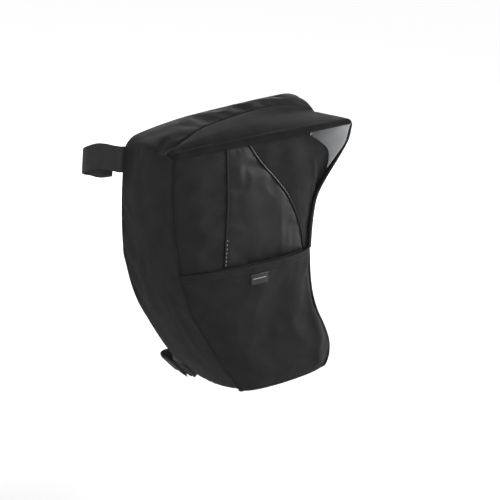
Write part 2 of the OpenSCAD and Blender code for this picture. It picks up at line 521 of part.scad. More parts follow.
// ---------- drawing ----------
back_panel();
back_pad();
back_foam();
back_board();
back_lining();
gusset_upper();
gusset_base();
gusset_foam();
gusset_lining();
front_left();
front_insert();
front_right();
front_base();
front_foam();
front_lining();
pocket_panel();
pocket_hem();
pocket_label();
edge_binding();
piping_left();
piping_right();
mouth_facing();
loop_strip();
hood_yoke();
hood_top();
hood_padding();
hood_lining();
hood_wing();
wing_lining();
wing_binding();
hook_strip();
upper_root();
upper_strap();
upper_loop_patch();
upper_tail();
upper_hook_patch();
lower_root();
lower_strap();
lower_loop_patch();
lower_tail();
lower_hook_patch();
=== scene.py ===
# Looks of a soft motorcycle side bag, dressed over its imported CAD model.
# The bag is sewn from padded black fabric, so each panel is built on the paper pattern it was cut from.
import json
import math

import bpy
import numpy as np
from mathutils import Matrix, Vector
from mathutils.bvhtree import BVHTree

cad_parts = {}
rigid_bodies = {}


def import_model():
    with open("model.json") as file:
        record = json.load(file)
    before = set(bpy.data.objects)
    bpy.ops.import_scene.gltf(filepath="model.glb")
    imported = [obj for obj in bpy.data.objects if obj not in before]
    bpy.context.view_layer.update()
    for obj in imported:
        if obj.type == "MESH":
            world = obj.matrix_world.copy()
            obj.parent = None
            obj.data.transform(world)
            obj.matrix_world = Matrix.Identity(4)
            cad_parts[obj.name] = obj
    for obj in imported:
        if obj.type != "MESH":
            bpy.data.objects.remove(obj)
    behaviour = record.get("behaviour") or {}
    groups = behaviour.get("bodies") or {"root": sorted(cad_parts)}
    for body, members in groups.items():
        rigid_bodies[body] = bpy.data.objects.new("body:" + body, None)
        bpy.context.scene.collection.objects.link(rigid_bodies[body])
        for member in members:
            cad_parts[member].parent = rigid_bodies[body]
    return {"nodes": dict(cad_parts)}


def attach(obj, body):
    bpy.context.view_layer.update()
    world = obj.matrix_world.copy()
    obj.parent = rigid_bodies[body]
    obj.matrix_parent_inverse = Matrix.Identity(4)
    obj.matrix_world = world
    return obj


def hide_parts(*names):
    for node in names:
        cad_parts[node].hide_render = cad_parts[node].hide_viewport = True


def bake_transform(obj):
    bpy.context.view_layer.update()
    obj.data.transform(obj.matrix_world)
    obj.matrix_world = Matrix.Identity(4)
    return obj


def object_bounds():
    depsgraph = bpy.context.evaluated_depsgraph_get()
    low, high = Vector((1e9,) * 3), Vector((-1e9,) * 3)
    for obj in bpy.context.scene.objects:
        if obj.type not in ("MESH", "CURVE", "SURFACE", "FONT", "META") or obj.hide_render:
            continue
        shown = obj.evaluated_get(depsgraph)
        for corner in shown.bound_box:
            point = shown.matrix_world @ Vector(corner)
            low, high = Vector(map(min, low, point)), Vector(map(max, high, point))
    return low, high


for thing in list(bpy.data.objects):
    bpy.data.objects.remove(thing)
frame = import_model()
nodes = frame["nodes"]
cad_low, cad_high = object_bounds()

# ---------- camera, image points, floor and light ----------
# The bag hangs in a white studio. The camera stands to its left and a little above, and far off, so that the
# lines of the bag hardly converge.
CAMERA_AZIMUTH, CAMERA_ELEVATION = -35.0, 17.0
CAMERA_AIM = Vector((0.015, -0.045, -0.002))
CAMERA_DISTANCE = 1.389
CAMERA_LENS, SENSOR_WIDTH = 100.0, 36.0
azimuth, elevation = math.radians(CAMERA_AZIMUTH), math.radians(CAMERA_ELEVATION)
towards_camera = Vector((math.sin(azimuth) * math.cos(elevation), -math.cos(azimuth) * math.cos(elevation),
                         math.sin(elevation)))
camera = bpy.data.objects.new("studio_camera", bpy.data.cameras.new("studio_camera"))
bpy.context.scene.collection.objects.link(camera)
bpy.context.scene.camera = camera
camera.location = CAMERA_AIM + towards_camera * CAMERA_DISTANCE
camera.rotation_euler = (-towards_camera).to_track_quat("-Z", "Y").to_euler()
camera.data.lens, camera.data.sensor_width, camera.data.sensor_fit = CAMERA_LENS, SENSOR_WIDTH, "AUTO"
camera.data.shift_x = camera.data.shift_y = 0.0
camera.data.clip_start, camera.data.clip_end = 0.05, 20
bpy.context.view_layer.update()

W = H = 500
POINTS = {
    "left": (81, None), "right": (352, None), "top": (None, 92), "bottom": (None, 392),
    "front_corner": (175, 159), "hood_tip": (351, 122), "hood_seam_peak": (285, 103.7),
    "hood_lip_middle": (249, 147), "hem_left": (181, 276), "hem_right": (308, 248),
    "insert_left_top": (228, 152), "insert_right_foot": (304, 249), "insert_right_middle": (282, 190),
    "label": (259.5, 278.5), "pocket_foot": (251, 389), "panel_corner": (327, 151),
    "stitches_top": (227.6, 241), "stitches_foot": (225, 271), "upper_loop_rim": (99, 168), "lower_loop": (163, 355),
}


def image_point(place):
    """Where a point of the bag shows in the photograph's frame."""
    seen = camera.matrix_world.inverted() @ Vector(place)
    scale = CAMERA_LENS / SENSOR_WIDTH * max(W, H) / -seen.z
    return (W / 2 + (seen.x * scale) - camera.data.shift_x * max(W, H),
            H / 2 - (seen.y * scale) + camera.data.shift_y * max(W, H))


def on_surface(name, tree):
    """The place on a surface that shows at an image point, or the place nearest the ray where it misses."""
    x, y = POINTS[name]
    side = max(W, H)
    ray = Vector((x - W / 2 + camera.data.shift_x * side, H / 2 - y + camera.data.shift_y * side,
                  -side * CAMERA_LENS / SENSOR_WIDTH))
    ray = (camera.matrix_world.to_3x3() @ ray).normalized()
    start = camera.matrix_world.translation
    hit = tree.ray_cast(start, ray)
    if hit[0] is not None:
        return hit[0]
    tries = [tree.find_nearest(start + ray * (CAMERA_DISTANCE + d / 500)) for d in range(-100, 101)]
    return min(tries, key=lambda near: near[3])[0]


def lamp(name, place, aim, size, power):
    light = bpy.data.lights.new(name, "AREA")
    light.shape, light.size, light.energy = "DISK", size, power
    thing = bpy.data.objects.new(name, light)
    bpy.context.scene.collection.objects.link(thing)
    thing.location = place
    thing.rotation_euler = (Vector(aim) - Vector(place)).to_track_quat("-Z", "Y").to_euler()


lamp("right_softbox", (1.6, -0.38, 0.35), (0, -0.05, 0), 0.6, 32)
lamp("back_softbox", (0.80, 1.25, 0.48), (0, -0.05, 0), 0.7, 16)
lamp("left_rim_softbox", (-0.95, 1.35, 0.25), (0, -0.05, 0), 0.5, 7)
lamp("front_softbox", (-0.9, -1.7, 0.5), (0, -0.05, 0), 1.0, 14)
world = bpy.data.worlds.new("white_studio")
bpy.context.scene.world = world
world.use_nodes = True
tree = world.node_tree
tree.nodes.clear()
path = tree.nodes.new("ShaderNodeLightPath")
seen_white = tree.nodes.new("ShaderNodeMath")
mirrored = tree.nodes.new("ShaderNodeMath")
seen_white.operation = mirrored.operation = "MAXIMUM"
soft = tree.nodes.new("ShaderNodeBackground")
soft.inputs["Strength"].default_value = 0.4
white = tree.nodes.new("ShaderNodeBackground")
white.inputs["Color"].default_value = (1, 1, 1, 1)
either = tree.nodes.new("ShaderNodeMixShader")
tree.links.new(path.outputs["Is Camera Ray"], seen_white.inputs[0])
tree.links.new(path.outputs["Is Glossy Ray"], mirrored.inputs[0])
tree.links.new(path.outputs["Is Transmission Ray"], mirrored.inputs[1])
tree.links.new(mirrored.outputs[0], seen_white.inputs[1])
tree.links.new(seen_white.outputs[0], either.inputs["Fac"])
tree.links.new(soft.outputs[0], either.inputs[1])
tree.links.new(white.outputs[0], either.inputs[2])
tree.links.new(either.outputs[0], tree.nodes.new("ShaderNodeOutputWorld").inputs["Surface"])
bpy.context.scene.view_settings.view_transform = "Standard"

floor_mesh = bpy.data.meshes.new("studio_floor")
floor_z = cad_low.z - 0.10
floor_mesh.from_pydata([(-6, -6, floor_z), (6, -6, floor_z), (6, 6, floor_z), (-6, 6, floor_z)], [], [(0, 1, 2, 3)])
floor = bpy.data.objects.new("studio_floor", floor_mesh)
bpy.context.scene.collection.objects.link(floor)
floor_paint = bpy.data.materials.new("studio_white")
floor_paint.use_nodes = True
tree = floor_paint.node_tree
tree.nodes.clear()
path = tree.nodes.new("ShaderNodeLightPath")
matt = tree.nodes.new("ShaderNodeBsdfDiffuse")
matt.inputs["Color"].default_value = (0.72, 0.72, 0.72, 1)
glow = tree.nodes.new("ShaderNodeEmission")
where = tree.nodes.new("ShaderNodeTexCoord")
far_off = tree.nodes.new("ShaderNodeVectorMath")
far_off.operation = "LENGTH"
tree.links.new(where.outputs["Object"], far_off.inputs[0])
fade = tree.nodes.new("ShaderNodeMapRange")
for socket, value in (("From Min", 0.3), ("From Max", 1.6), ("To Min", 0.3), ("To Max", 0.75)):
    fade.inputs[socket].default_value = value
tree.links.new(far_off.outputs["Value"], fade.inputs["Value"])
tree.links.new(fade.outputs[0], glow.inputs["Strength"])
both = tree.nodes.new("ShaderNodeAddShader")
either = tree.nodes.new("ShaderNodeMixShader")
tree.links.new(matt.outputs[0], both.inputs[0])
tree.links.new(glow.outputs[0], both.inputs[1])
tree.links.new(path.outputs["Is Camera Ray"], either.inputs["Fac"])
tree.links.new(matt.outputs[0], either.inputs[1])
tree.links.new(both.outputs[0], either.inputs[2])
tree.links.new(either.outputs[0], tree.nodes.new("ShaderNodeOutputMaterial").inputs["Surface"])
floor_mesh.materials.append(floor_paint)

# ---------- side strip ----------
# One long strip of padded woven nylon that runs round the bag from the right of the pocket, under the bottom,
# up the left and over the top. It is cut to the outlines below, laid over foam, and sewn to the back and the front.
# Outlines are [x, z] in millimetres. The lower ones run up to the pocket's hem, the upper ones on from it.
LEFT_FRONT_LOW = [[-31, -125], [-50, -96], [-69, -64], [-85, -35], [-97, 4.5]]
LEFT_REAR_LOW = [[-28, -138], [-55, -108], [-77, -73], [-95, -38], [-106, 4.5]]
LEFT_FRONT_UP = [[-97, 4.5], [-101.5, 33], [-104.5, 62], [-105, 90], [-102.5, 116]]
LEFT_REAR_UP = [[-106, 4.5], [-107, 31], [-106.5, 57], [-105, 81], [-103, 104]]
RIGHT_FRONT_LOW = [[77, -123], [82, -106], [74.5, -82], [62, -55], [56.8, -25], [56.3, 4.5]]
RIGHT_REAR_LOW = [[80, -138], [94, -112], [87, -82], [75, -54], [68, -24], [66, 4.5]]
RIGHT_FRONT_UP = [[56.3, 4.5], [58, 33], [63, 58], [78, 79.5], [77, 102], [50, 122]]
BOTTOM_FRONT = [[-31, -125], [-10, -128], [14, -129], [38, -128.5], [62, -126.5], [77, -123]]
BOTTOM_REAR = [[-28, -138], [-10, -140], [14, -141], [38, -141], [62, -140.5], [80, -138]]
SHOULDER_REAR = [[-103, 104], [-99, 114], [-91, 120.5], [-80, 123.5]]
TOP_REAR = [[-80, 123.5], [-48, 130], [-16, 134], [16, 137], [46, 139.5], [76, 141.5], [97, 141], [107, 132]]
SIDE_REAR = [[107, 132], [109, 117], [103, 101], [92, 85], [82, 70], [74, 52], [69, 30], [66, 5.2]]
HOOD_SEAM = [[-102, -80, 117], [-70, -63, 126.5], [-36, -46, 131], [-2, -37, 134], [33, -31, 137],
             [66, -28, 137], [90, -29, 133], [104, -33, 126.5]]
SIDE_SEAM = [[104, 126.5], [106, 114], [101, 99], [90, 83], [80, 69], [72.5, 51], [67.5, 30], [64.5, 5.2]]
DEPTH, CROWN, BULGE = 93, 8, 2.5
PAD, SKIN, FOAM, LINING = 1.8, 1.2, 4, 0.8
WALL = SKIN + FOAM + LINING
HEM, HEM_HEIGHT, FIXED_STRIP = 4.5, 8, 30
HEM_SHARE = HEM_HEIGHT / (HEM + 283 / 2 - 9)
INSERT_LEFT, INSERT_RIGHT = [[-52], [-47], [-46]], [[48], [22], [-21]]
MM = 0.001


def along(points, share):
    """A smooth curve through the points."""
    points, share = np.asarray(points, float), np.asarray(share, float)
    last = len(points) - 1
    x = np.clip(share, 0, 1) * last
    i = np.minimum(np.floor(x).astype(int), last - 1)
    f = (x - i)[..., None]
    a, b, c, d = points[np.maximum(i - 1, 0)], points[i], points[i + 1], points[np.minimum(i + 2, last)]
    return 0.5 * (2 * b + (c - a) * f + (2 * a - 5 * b + 4 * c - d) * f * f + (3 * b - a - 3 * c + d) * f ** 3)


def mix(a, b, share):
    return a + (b - a) * share


def unit(v):
    return v / np.maximum(np.linalg.norm(v, axis=-1, keepdims=True), 1e-9)


def front_edge(low, up, t):
    t = np.asarray(t, float)
    return np.where((t <= 1)[..., None], along(low, t), along(up, t - 1))


def rise(x, width, power):
    return 1 - (1 - np.clip(x / width, 0, 1)) ** power


def front_at(s, t):
    """The front panel: s from its left seam to its right edge, t from the bottom through 1 at the hem to 2 at the top."""
    s, t = np.broadcast_arrays(np.asarray(s, float), np.asarray(t, float))
    left, right = front_edge(LEFT_FRONT_LOW, LEFT_FRONT_UP, t), front_edge(RIGHT_FRONT_LOW, RIGHT_FRONT_UP, t)
    flat = mix(left, right, s[..., None]) + ((1 - t / 2) ** 3)[..., None] * (
        along(BOTTOM_FRONT, s) - mix(np.array(LEFT_FRONT_LOW[0]), np.array(RIGHT_FRONT_LOW[0]), s[..., None]))
    crown = CROWN * rise(s, 0.35, 2) * rise(1 - s, 0.3, 2.2) * rise(t, 0.4, 2) * np.where(t < 1, 1, 1 - 0.55 * (t - 1))
    y = -(DEPTH - 4 * s - 3 * s * (1 - rise(np.abs(t - 1), 0.6, 2)) + crown)
    return np.stack([flat[..., 0], y, flat[..., 1]], -1)


def row_share(i):
    return (1 - HEM_SHARE) * i / 7 if i < 8 else 1 + (i - 8) / 9


def rear_at(outline, share):
    p = along(outline, share)
    return np.stack([p[..., 0], np.full(p.shape[:-1], -(PAD + SKIN)), p[..., 1]], -1)


def hood_seam(u):
    return along(HOOD_SEAM, u)


rear_seam, front_seam, mitre = [], [], []
for i in range(8, 0, -1):
    rear_seam.append(rear_at(RIGHT_REAR_LOW, row_share(i)))
    front_seam.append(front_at(1, row_share(i)))
    mitre.append(1)
for j in range(12, 0, -1):
    rear_seam.append(rear_at(BOTTOM_REAR, j / 12))
    front_seam.append(front_at(j / 12, 0))
    mitre.append(1)
for i in range(18):
    rear_seam.append(rear_at(LEFT_REAR_LOW, row_share(i)) if i < 9 else rear_at(LEFT_REAR_UP, row_share(i) - 1))
    front_seam.append(front_at(0, row_share(i)))
    mitre.append(1)
for k in (1, 2, 3):
    f = mix(0.9, 1, (k - 1) / 2)
    rear_seam.append(rear_at(SHOULDER_REAR, k / 3))
    front_seam.append(mix(front_at(0, 2), hood_seam(0), f))
    mitre.append(1 - f)
for k in range(1, 11):
    rear_seam.append(rear_at(TOP_REAR, k / 10))
    front_seam.append(hood_seam(k / 10))
    mitre.append(0)
for k in range(1, 9):
    p = along(SIDE_SEAM, k / 8)
    rear_seam.append(rear_at(SIDE_REAR, k / 8))
    front_seam.append(np.array([p[0], mix(-33, -FIXED_STRIP, min(1, k / 2)), p[1]]))
    mitre.append(0)
rear_seam, front_seam, mitre = np.array(rear_seam), np.array(front_seam), np.array(mitre, float)[:, None]
STATIONS = len(rear_seam)
TIP, CORNER, HOOD_START = 20, 37, 40  # the bottom tip, the front's top left corner and the start of the hood's seam
step = np.zeros_like(rear_seam)
for k in range(STATIONS):
    a, b = max(k - 1, 0), min(k + 1, STATIONS - 1)
    run = rear_seam[b] - rear_seam[a] + front_seam[b] - front_seam[a]
    step[k] = (run[2], 0, -run[0])
into_bag = unit(step)
front_into_bag = into_bag.copy()
front_into_bag[CORNER + 1:HOOD_START + 1] = 1.2 * unit(np.array([1.0, 0, 0]) + into_bag[HOOD_START + 1])


def side_at(k, v, depth=0.0, bulge=BULGE):
    """The side strip at station k, v from the back seam to the front one, and depth into the wall."""
    k, v = np.broadcast_arrays(np.asarray(k, float), np.asarray(v, float))
    x, v = k / (STATIONS - 1), v[..., None]
    into, front_into, m = along(into_bag, x), along(front_into_bag, x), along(mitre, x)
    into = unit(into)
    lean = np.zeros(into.shape)
    lean[..., 1] = (v ** 4 * m)[..., 0]
    return (mix(along(rear_seam, x), along(front_seam, x), v) - into * bulge * (4 * v * (1 - v)) ** 2
            + depth * (mix(into, front_into, v * v) + lean))


def even_stations(first, last, pitch):
    """Station numbers from first to last that lie evenly round the bag."""
    k = np.linspace(first, last, 800)
    run = side_at(k, 0.5)
    travel = np.concatenate([[0], np.cumsum(np.linalg.norm(np.diff(run, axis=0), axis=1))])
    return np.interp(np.linspace(0, travel[-1], max(int(travel[-1] / pitch), 2) + 1), travel, k)


def tucked(distance, depth=1.5, width=1.6):
    """How far the fabric is drawn down at a distance from its seam."""
    return depth * np.exp(-(distance / width) ** 2)


def edge_distance(grid, sides="abcd"):
    """Distance of every point of a grid from its edges: a first row, b last row, c first column, d last column."""
    far = np.full(grid.shape[:2], 1e9)
    down = np.concatenate([np.zeros((1, grid.shape[1])),
                           np.cumsum(np.linalg.norm(np.diff(grid, axis=0), axis=2), axis=0)])
    across = np.concatenate([np.zeros((grid.shape[0], 1)),
                             np.cumsum(np.linalg.norm(np.diff(grid, axis=1), axis=2), axis=1)], axis=1)
    for side, d in (("a", down), ("b", down[-1:] - down), ("c", across), ("d", across[:, -1:] - across)):
        if side in sides:
            far = np.minimum(far, d)
    return far, np.stack([across, down], -1)


def grid_normal(grid):
    n = unit(np.cross(np.gradient(grid, axis=0), np.gradient(grid, axis=1)))
    return n


def wrinkles(grid, seed, scale, height):
    """Smooth seeded unevenness over a grid, in millimetres."""
    rng = np.random.default_rng(seed)
    total = np.zeros(grid.shape[:2])
    for n in range(14):
        way = unit(rng.normal(size=3))
        total += np.sin(grid @ way * (2 * math.pi / (scale * rng.uniform(0.6, 1.7))) + rng.uniform(0, 6.28))
    return height * total / 14 ** 0.5


def crease(grid, line, height, width):
    """The height of a soft fold along a line of points, fading at its ends, and the side of the line it is on."""
    run = along(line, np.linspace(0, 1, 40))
    apart = grid[:, :, None] - run
    far = np.linalg.norm(apart, axis=3)
    near = far.argmin(2)
    beside = np.take_along_axis(apart[..., 0], near[..., None], 2)[..., 0]
    fade = np.sin(math.pi * (near + 0.5) / 40) ** 0.6
    return height * fade * np.exp(-(far.min(2) / width) ** 2), beside, fade


def settled(grid, pinned, pressure=3.0, slack=0.012, stiff=6.0, cap=3.0, frames=22):
    """Lets a panel of cloth settle under a little pressure from its foam, held at its seams."""
    rows, cols = grid.shape[:2]
    mesh = bpy.data.meshes.new("settling")
    flat = grid.reshape(-1, 3) * MM
    faces = [(i * cols + j, i * cols + j + 1, (i + 1) * cols + j + 1, (i + 1) * cols + j)
             for i in range(rows - 1) for j in range(cols - 1)]
    mesh.from_pydata([tuple(p) for p in flat], [], faces)
    cloth_piece = bpy.data.objects.new("settling", mesh)
    bpy.context.scene.collection.objects.link(cloth_piece)
    held = cloth_piece.vertex_groups.new(name="held")
    held.add([int(n) for n in np.flatnonzero(pinned.reshape(-1))], 1.0, "REPLACE")
    cloth = cloth_piece.modifiers.new("cloth", "CLOTH")
    s = cloth.settings
    s.quality, s.mass, s.air_damping = 7, 0.15, 4.0
    s.tension_stiffness = s.compression_stiffness = 25
    s.shear_stiffness, s.bending_stiffness = 12, stiff
    s.vertex_group_mass = "held"
    s.effector_weights.gravity = 0.0
    s.use_pressure, s.uniform_pressure_force = True, pressure
    s.shrink_min = -slack
    cloth.collision_settings.use_collision = False
    cloth.collision_settings.use_self_collision = False
    cloth.point_cache.frame_start, cloth.point_cache.frame_end = 1, frames
    scene = bpy.context.scene
    for n in range(1, frames + 1):
        scene.frame_set(n)
    after = cloth_piece.evaluated_get(bpy.context.evaluated_depsgraph_get())
    co = np.empty(len(flat) * 3, np.float32)
    after.data.vertices.foreach_get("co", co)
    moved = co.reshape(grid.shape) / MM - grid
    scene.frame_set(1)
    bpy.data.objects.remove(cloth_piece)
    far = np.linalg.norm(moved, axis=2, keepdims=True)
    return grid + moved * np.minimum(1, cap / np.maximum(far, 1e-9))


def shell_piece(name, outer, inner, paint, uv=None, roll=0.5, steps=3):
    """A closed piece of fabric between two grids, with its cut edge rolled over and its own map in metres."""
    rows, cols = outer.shape[:2]
    if uv is None:
        uv = edge_distance(outer)[1]
    ring = ([(0, j) for j in range(cols - 1)] + [(i, cols - 1) for i in range(rows - 1)]
            + [(rows - 1, j) for j in range(cols - 1, 0, -1)] + [(i, 0) for i in range(rows - 1, 0, -1)])
    ri, rj = np.array([p[0] for p in ring]), np.array([p[1] for p in ring])
    out_edge, in_edge, ring_uv = outer[ri, rj], inner[ri, rj], uv[ri, rj]
    inside = outer[np.clip(ri, 1, rows - 2), np.clip(rj, 1, cols - 2)]
    away = out_edge - inside
    wall = unit(in_edge - out_edge)
    away = unit(away - wall * (away * wall).sum(1, keepdims=True))
    uv_away = unit(ring_uv - uv[np.clip(ri, 1, rows - 2), np.clip(rj, 1, cols - 2)])
    thick = np.linalg.norm(in_edge - out_edge, axis=1, keepdims=True)
    points, maps = [outer.reshape(-1, 3)], [uv.reshape(-1, 2)]
    for n in range(1, steps + 1):
        f = n / (steps + 1)
        points.append(mix(out_edge, in_edge, f) + away * roll * math.sin(math.pi * f))
        maps.append(ring_uv + uv_away * thick * f)
    points.append(inner.reshape(-1, 3))
    maps.append(uv.reshape(-1, 2))
    size, round_n = rows * cols, len(ring)
    base = size + steps * round_n
    edge = ri * cols + rj
    faces = [(i * cols + j, i * cols + j + 1, (i + 1) * cols + j + 1, (i + 1) * cols + j)
             for i in range(rows - 1) for j in range(cols - 1)]
    faces += [tuple(base + v for v in reversed(f)) for f in faces]
    loops = [edge] + [size + n * round_n + np.arange(round_n) for n in range(steps)] + [base + edge]
    for a, b in zip(loops, loops[1:]):
        faces += [(int(a[k]), int(b[k]), int(b[(k + 1) % round_n]), int(a[(k + 1) % round_n])) for k in range(round_n)]
    return closed_mesh(name, np.concatenate(points), faces, np.concatenate(maps), paint)


def closed_mesh(name, points, faces, maps, paint):
    mesh = bpy.data.meshes.new(name)
    mesh.from_pydata([tuple(p) for p in np.asarray(points) * MM], [], faces)
    corners = np.empty(len(mesh.loops), np.int32)
    mesh.loops.foreach_get("vertex_index", corners)
    layer = mesh.uv_layers.new(name="cloth")
    layer.data.foreach_set("uv", (np.asarray(maps) * MM)[corners].astype(np.float32).ravel())
    volume = sum(p.center.dot(p.normal) * p.area for p in mesh.polygons)
    if volume < 0:
        mesh.flip_normals()
    mesh.polygons.foreach_set("use_smooth", [True] * len(mesh.polygons))
    mesh.materials.append(paint)
    piece = bpy.data.objects.new(name, mesh)
    bpy.context.scene.collection.objects.link(piece)
    return piece


# The weave that all the bag's fabrics share: threads that pass over and under each other, with uneven yarn.
def weave_group():
    g = bpy.data.node_groups.new("plain_weave", "ShaderNodeTree")
    for name, kind, value in (("Map", "NodeSocketVector", None), ("Pitch", "NodeSocketFloat", 0.0008),
                              ("Ribs", "NodeSocketFloat", 1.0), ("Unevenness", "NodeSocketFloat", 0.3)):
        socket = g.interface.new_socket(name=name, in_out="INPUT", socket_type=kind)
        if value is not None:
            socket.default_value = value
    g.interface.new_socket(name="Height", in_out="OUTPUT", socket_type="NodeSocketFloat")
    g.interface.new_socket(name="Tint", in_out="OUTPUT", socket_type="NodeSocketFloat")
    add, link = g.nodes.new, g.links.new

    def maths(operation, a, b=None, c=None):
        n = add("ShaderNodeMath")
        n.operation = operation
        for socket, value in zip(n.inputs, (a, b, c)):
            if value is None:
                continue
            if isinstance(value, (int, float)):
                socket.default_value = value
            else:
                link(value, socket)
        return n.outputs[0]

    given = add("NodeGroupInput")
    apart = add("ShaderNodeSeparateXYZ")
    link(given.outputs["Map"], apart.inputs[0])
    u = maths("DIVIDE", apart.outputs[0], given.outputs["Pitch"])
    v = maths("DIVIDE", apart.outputs[1], maths("MULTIPLY", given.outputs["Pitch"], given.outputs["Ribs"]))
    over = maths("ABSOLUTE", maths("SINE", maths("MULTIPLY", u, math.pi)))
    under = maths("ABSOLUTE", maths("SINE", maths("MULTIPLY", v, math.pi)))
    square = maths("MODULO", maths("ABSOLUTE", maths("ADD", maths("FLOOR", u), maths("FLOOR", v))), 2.0)
    thread = maths("ADD", maths("MULTIPLY", over, square), maths("MULTIPLY", under, maths("SUBTRACT", 1.0, square)))
    yarn = add("ShaderNodeTexNoise")
    yarn.inputs["Scale"].default_value = 900
    yarn.inputs["Detail"].default_value = 2
    link(given.outputs["Map"], yarn.inputs["Vector"])
    broad = add("ShaderNodeTexNoise")
    broad.inputs["Scale"].default_value = 45
    broad.inputs["Detail"].default_value = 4
    link(given.outputs["Map"], broad.inputs["Vector"])
    out = add("NodeGroupOutput")
    link(maths("ADD", thread, maths("MULTIPLY", yarn.outputs[0], given.outputs["Unevenness"])), out.inputs["Height"])
    shade = maths("ADD", maths("MULTIPLY", thread, 0.35), maths("MULTIPLY", broad.outputs[0], 0.65))
    link(maths("ADD", shade, maths("MULTIPLY", maths("SUBTRACT", yarn.outputs[0], 0.5), 0.4)), out.inputs["Tint"])
    return g


WEAVE = weave_group()


def cloth_paint(name, dark, light, pitch=0.0008, ribs=1.0, uneven=0.35, height=0.00012, rough=0.8, sheen=0.25,
                specular=0.35, coat=0.0):
    """A woven finish: two shades of one yarn, worked over the piece's own map."""
    paint = bpy.data.materials.new(name)
    paint.use_nodes = True
    t = paint.node_tree
    cover = t.nodes["Principled BSDF"]
    where = t.nodes.new("ShaderNodeUVMap")
    where.uv_map = "cloth"
    weave = t.nodes.new("ShaderNodeGroup")
    weave.node_tree = WEAVE
    weave.inputs["Pitch"].default_value = pitch
    weave.inputs["Ribs"].default_value = ribs
    weave.inputs["Unevenness"].default_value = uneven
    t.links.new(where.outputs[0], weave.inputs["Map"])
    shades = t.nodes.new("ShaderNodeValToRGB")
    shades.color_ramp.elements[0].position, shades.color_ramp.elements[1].position = 0.2, 0.85
    shades.color_ramp.elements[0].color, shades.color_ramp.elements[1].color = (*dark, 1), (*light, 1)
    t.links.new(weave.outputs["Tint"], shades.inputs[0])
    t.links.new(shades.outputs[0], cover.inputs["Base Color"])
    bump = t.nodes.new("ShaderNodeBump")
    bump.inputs["Distance"].default_value = height
    bump.inputs["Strength"].default_value = 0.8
    t.links.new(weave.outputs["Height"], bump.inputs["Height"])
    t.links.new(bump.outputs[0], cover.inputs["Normal"])
    cover.inputs["Roughness"].default_value = rough
    cover.inputs["Specular IOR Level"].default_value = specular
    cover.inputs["Sheen Weight"].default_value = sheen
    cover.inputs["Sheen Roughness"].default_value = 0.5
    cover.inputs["Coat Weight"].default_value = coat
    return paint


black_nylon = cloth_paint("black_nylon", (0.015, 0.015, 0.016), (0.031, 0.031, 0.033), sheen=0.02, specular=0.04)

DEEP = SKIN + FOAM


SIDE_FOLDS = (
    ([[26.59, .723], [26.13, .731], [25.37, .739], [24.27, .748], [23.13, .756], [21.99, .79]], 0.7, 4),
    ([[26.34, .613], [25.62, .597], [24.73, .597], [23.51, .588], [22.54, .63]], 0.35, 4),
    ([[26.04, .798], [25.07, .798], [23.89, .79], [22.79, .807], [21.86, .84]], -0.4, 3),
    ([[39.0, .30], [38.2, .42], [37.4, .60], [36.6, .80]], 0.5, 6),
    ([[33.5, .25], [33.0, .45], [32.7, .70]], 0.35, 6))


def side_panel(name, first, last, draw, *replaced):
    k = even_stations(first, last, 2.4)
    v = np.linspace(0, 1, 37)
    K, V = np.meshgrid(k, v, indexing="ij")
    outer = side_at(K, V)
    pinned = np.zeros(outer.shape[:2], bool)
    pinned[0], pinned[-1], pinned[:, 0], pinned[:, -1] = True, True, True, True
    outer = settled(outer, pinned, pressure=1.5, slack=0.005, stiff=12, cap=1.8)
    near = edge_distance(outer)[0]
    folds = sum(crease(outer, side_at(*np.array(line).T), height, width)[0] for line, height, width in SIDE_FOLDS)
    into = unit(side_at(K, V, 1.0) - side_at(K, V, 0.0))
    drawn = tucked(near, draw, 1.5)
    drawn = drawn + (wrinkles(outer, 3, 40, 0.3) + wrinkles(outer, 4, 15, 0.07) - folds) * np.clip(near / 12, 0, 1)
    outer = outer + into * drawn[..., None]
    piece = shell_piece(name, outer, side_at(K, V, DEEP), black_nylon)
    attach(piece, "bag")
    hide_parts(*replaced)
    return piece


side_panel("side_strip", TIP, STATIONS - 1, 2.4, "gusset_upper", "gusset_foam")
side_panel("bottom_strip", 0, TIP, 0.5, "gusset_base")

# ---------- front ----------
# The front is pieced from a left strip, a coated insert and a right panel over a base panel. They are sewn
# together along flat seams and lie on one layer of foam.

def share_of(x, t):
    a, b = front_edge(LEFT_FRONT_LOW, LEFT_FRONT_UP, t)[..., 0], front_edge(RIGHT_FRONT_LOW, RIGHT_FRONT_UP, t)[..., 0]
    return (x - a) / (b - a)


def column_share(c, t):
    """Where column c, counted 0 to 3 to 8 to 12 over the three panels, runs at height t."""
    def upper(t):
        a, b = share_of(along(INSERT_LEFT, t - 1)[..., 0], t), share_of(along(INSERT_RIGHT, t - 1)[..., 0], t)
        return np.where(c <= 3, a * c / 3, np.where(c <= 8, mix(a, b, (c - 3) / 5), mix(b, 1, (c - 8) / 4)))
    t = np.asarray(t, float)
    return np.where(t >= 1, upper(np.maximum(t, 1)), mix(c / 12, upper(np.ones_like(t)), t * t))


def front_grid(c, t):
    C, T = np.meshgrid(c, t)
    return front_at(column_share(C, T), T), C, T


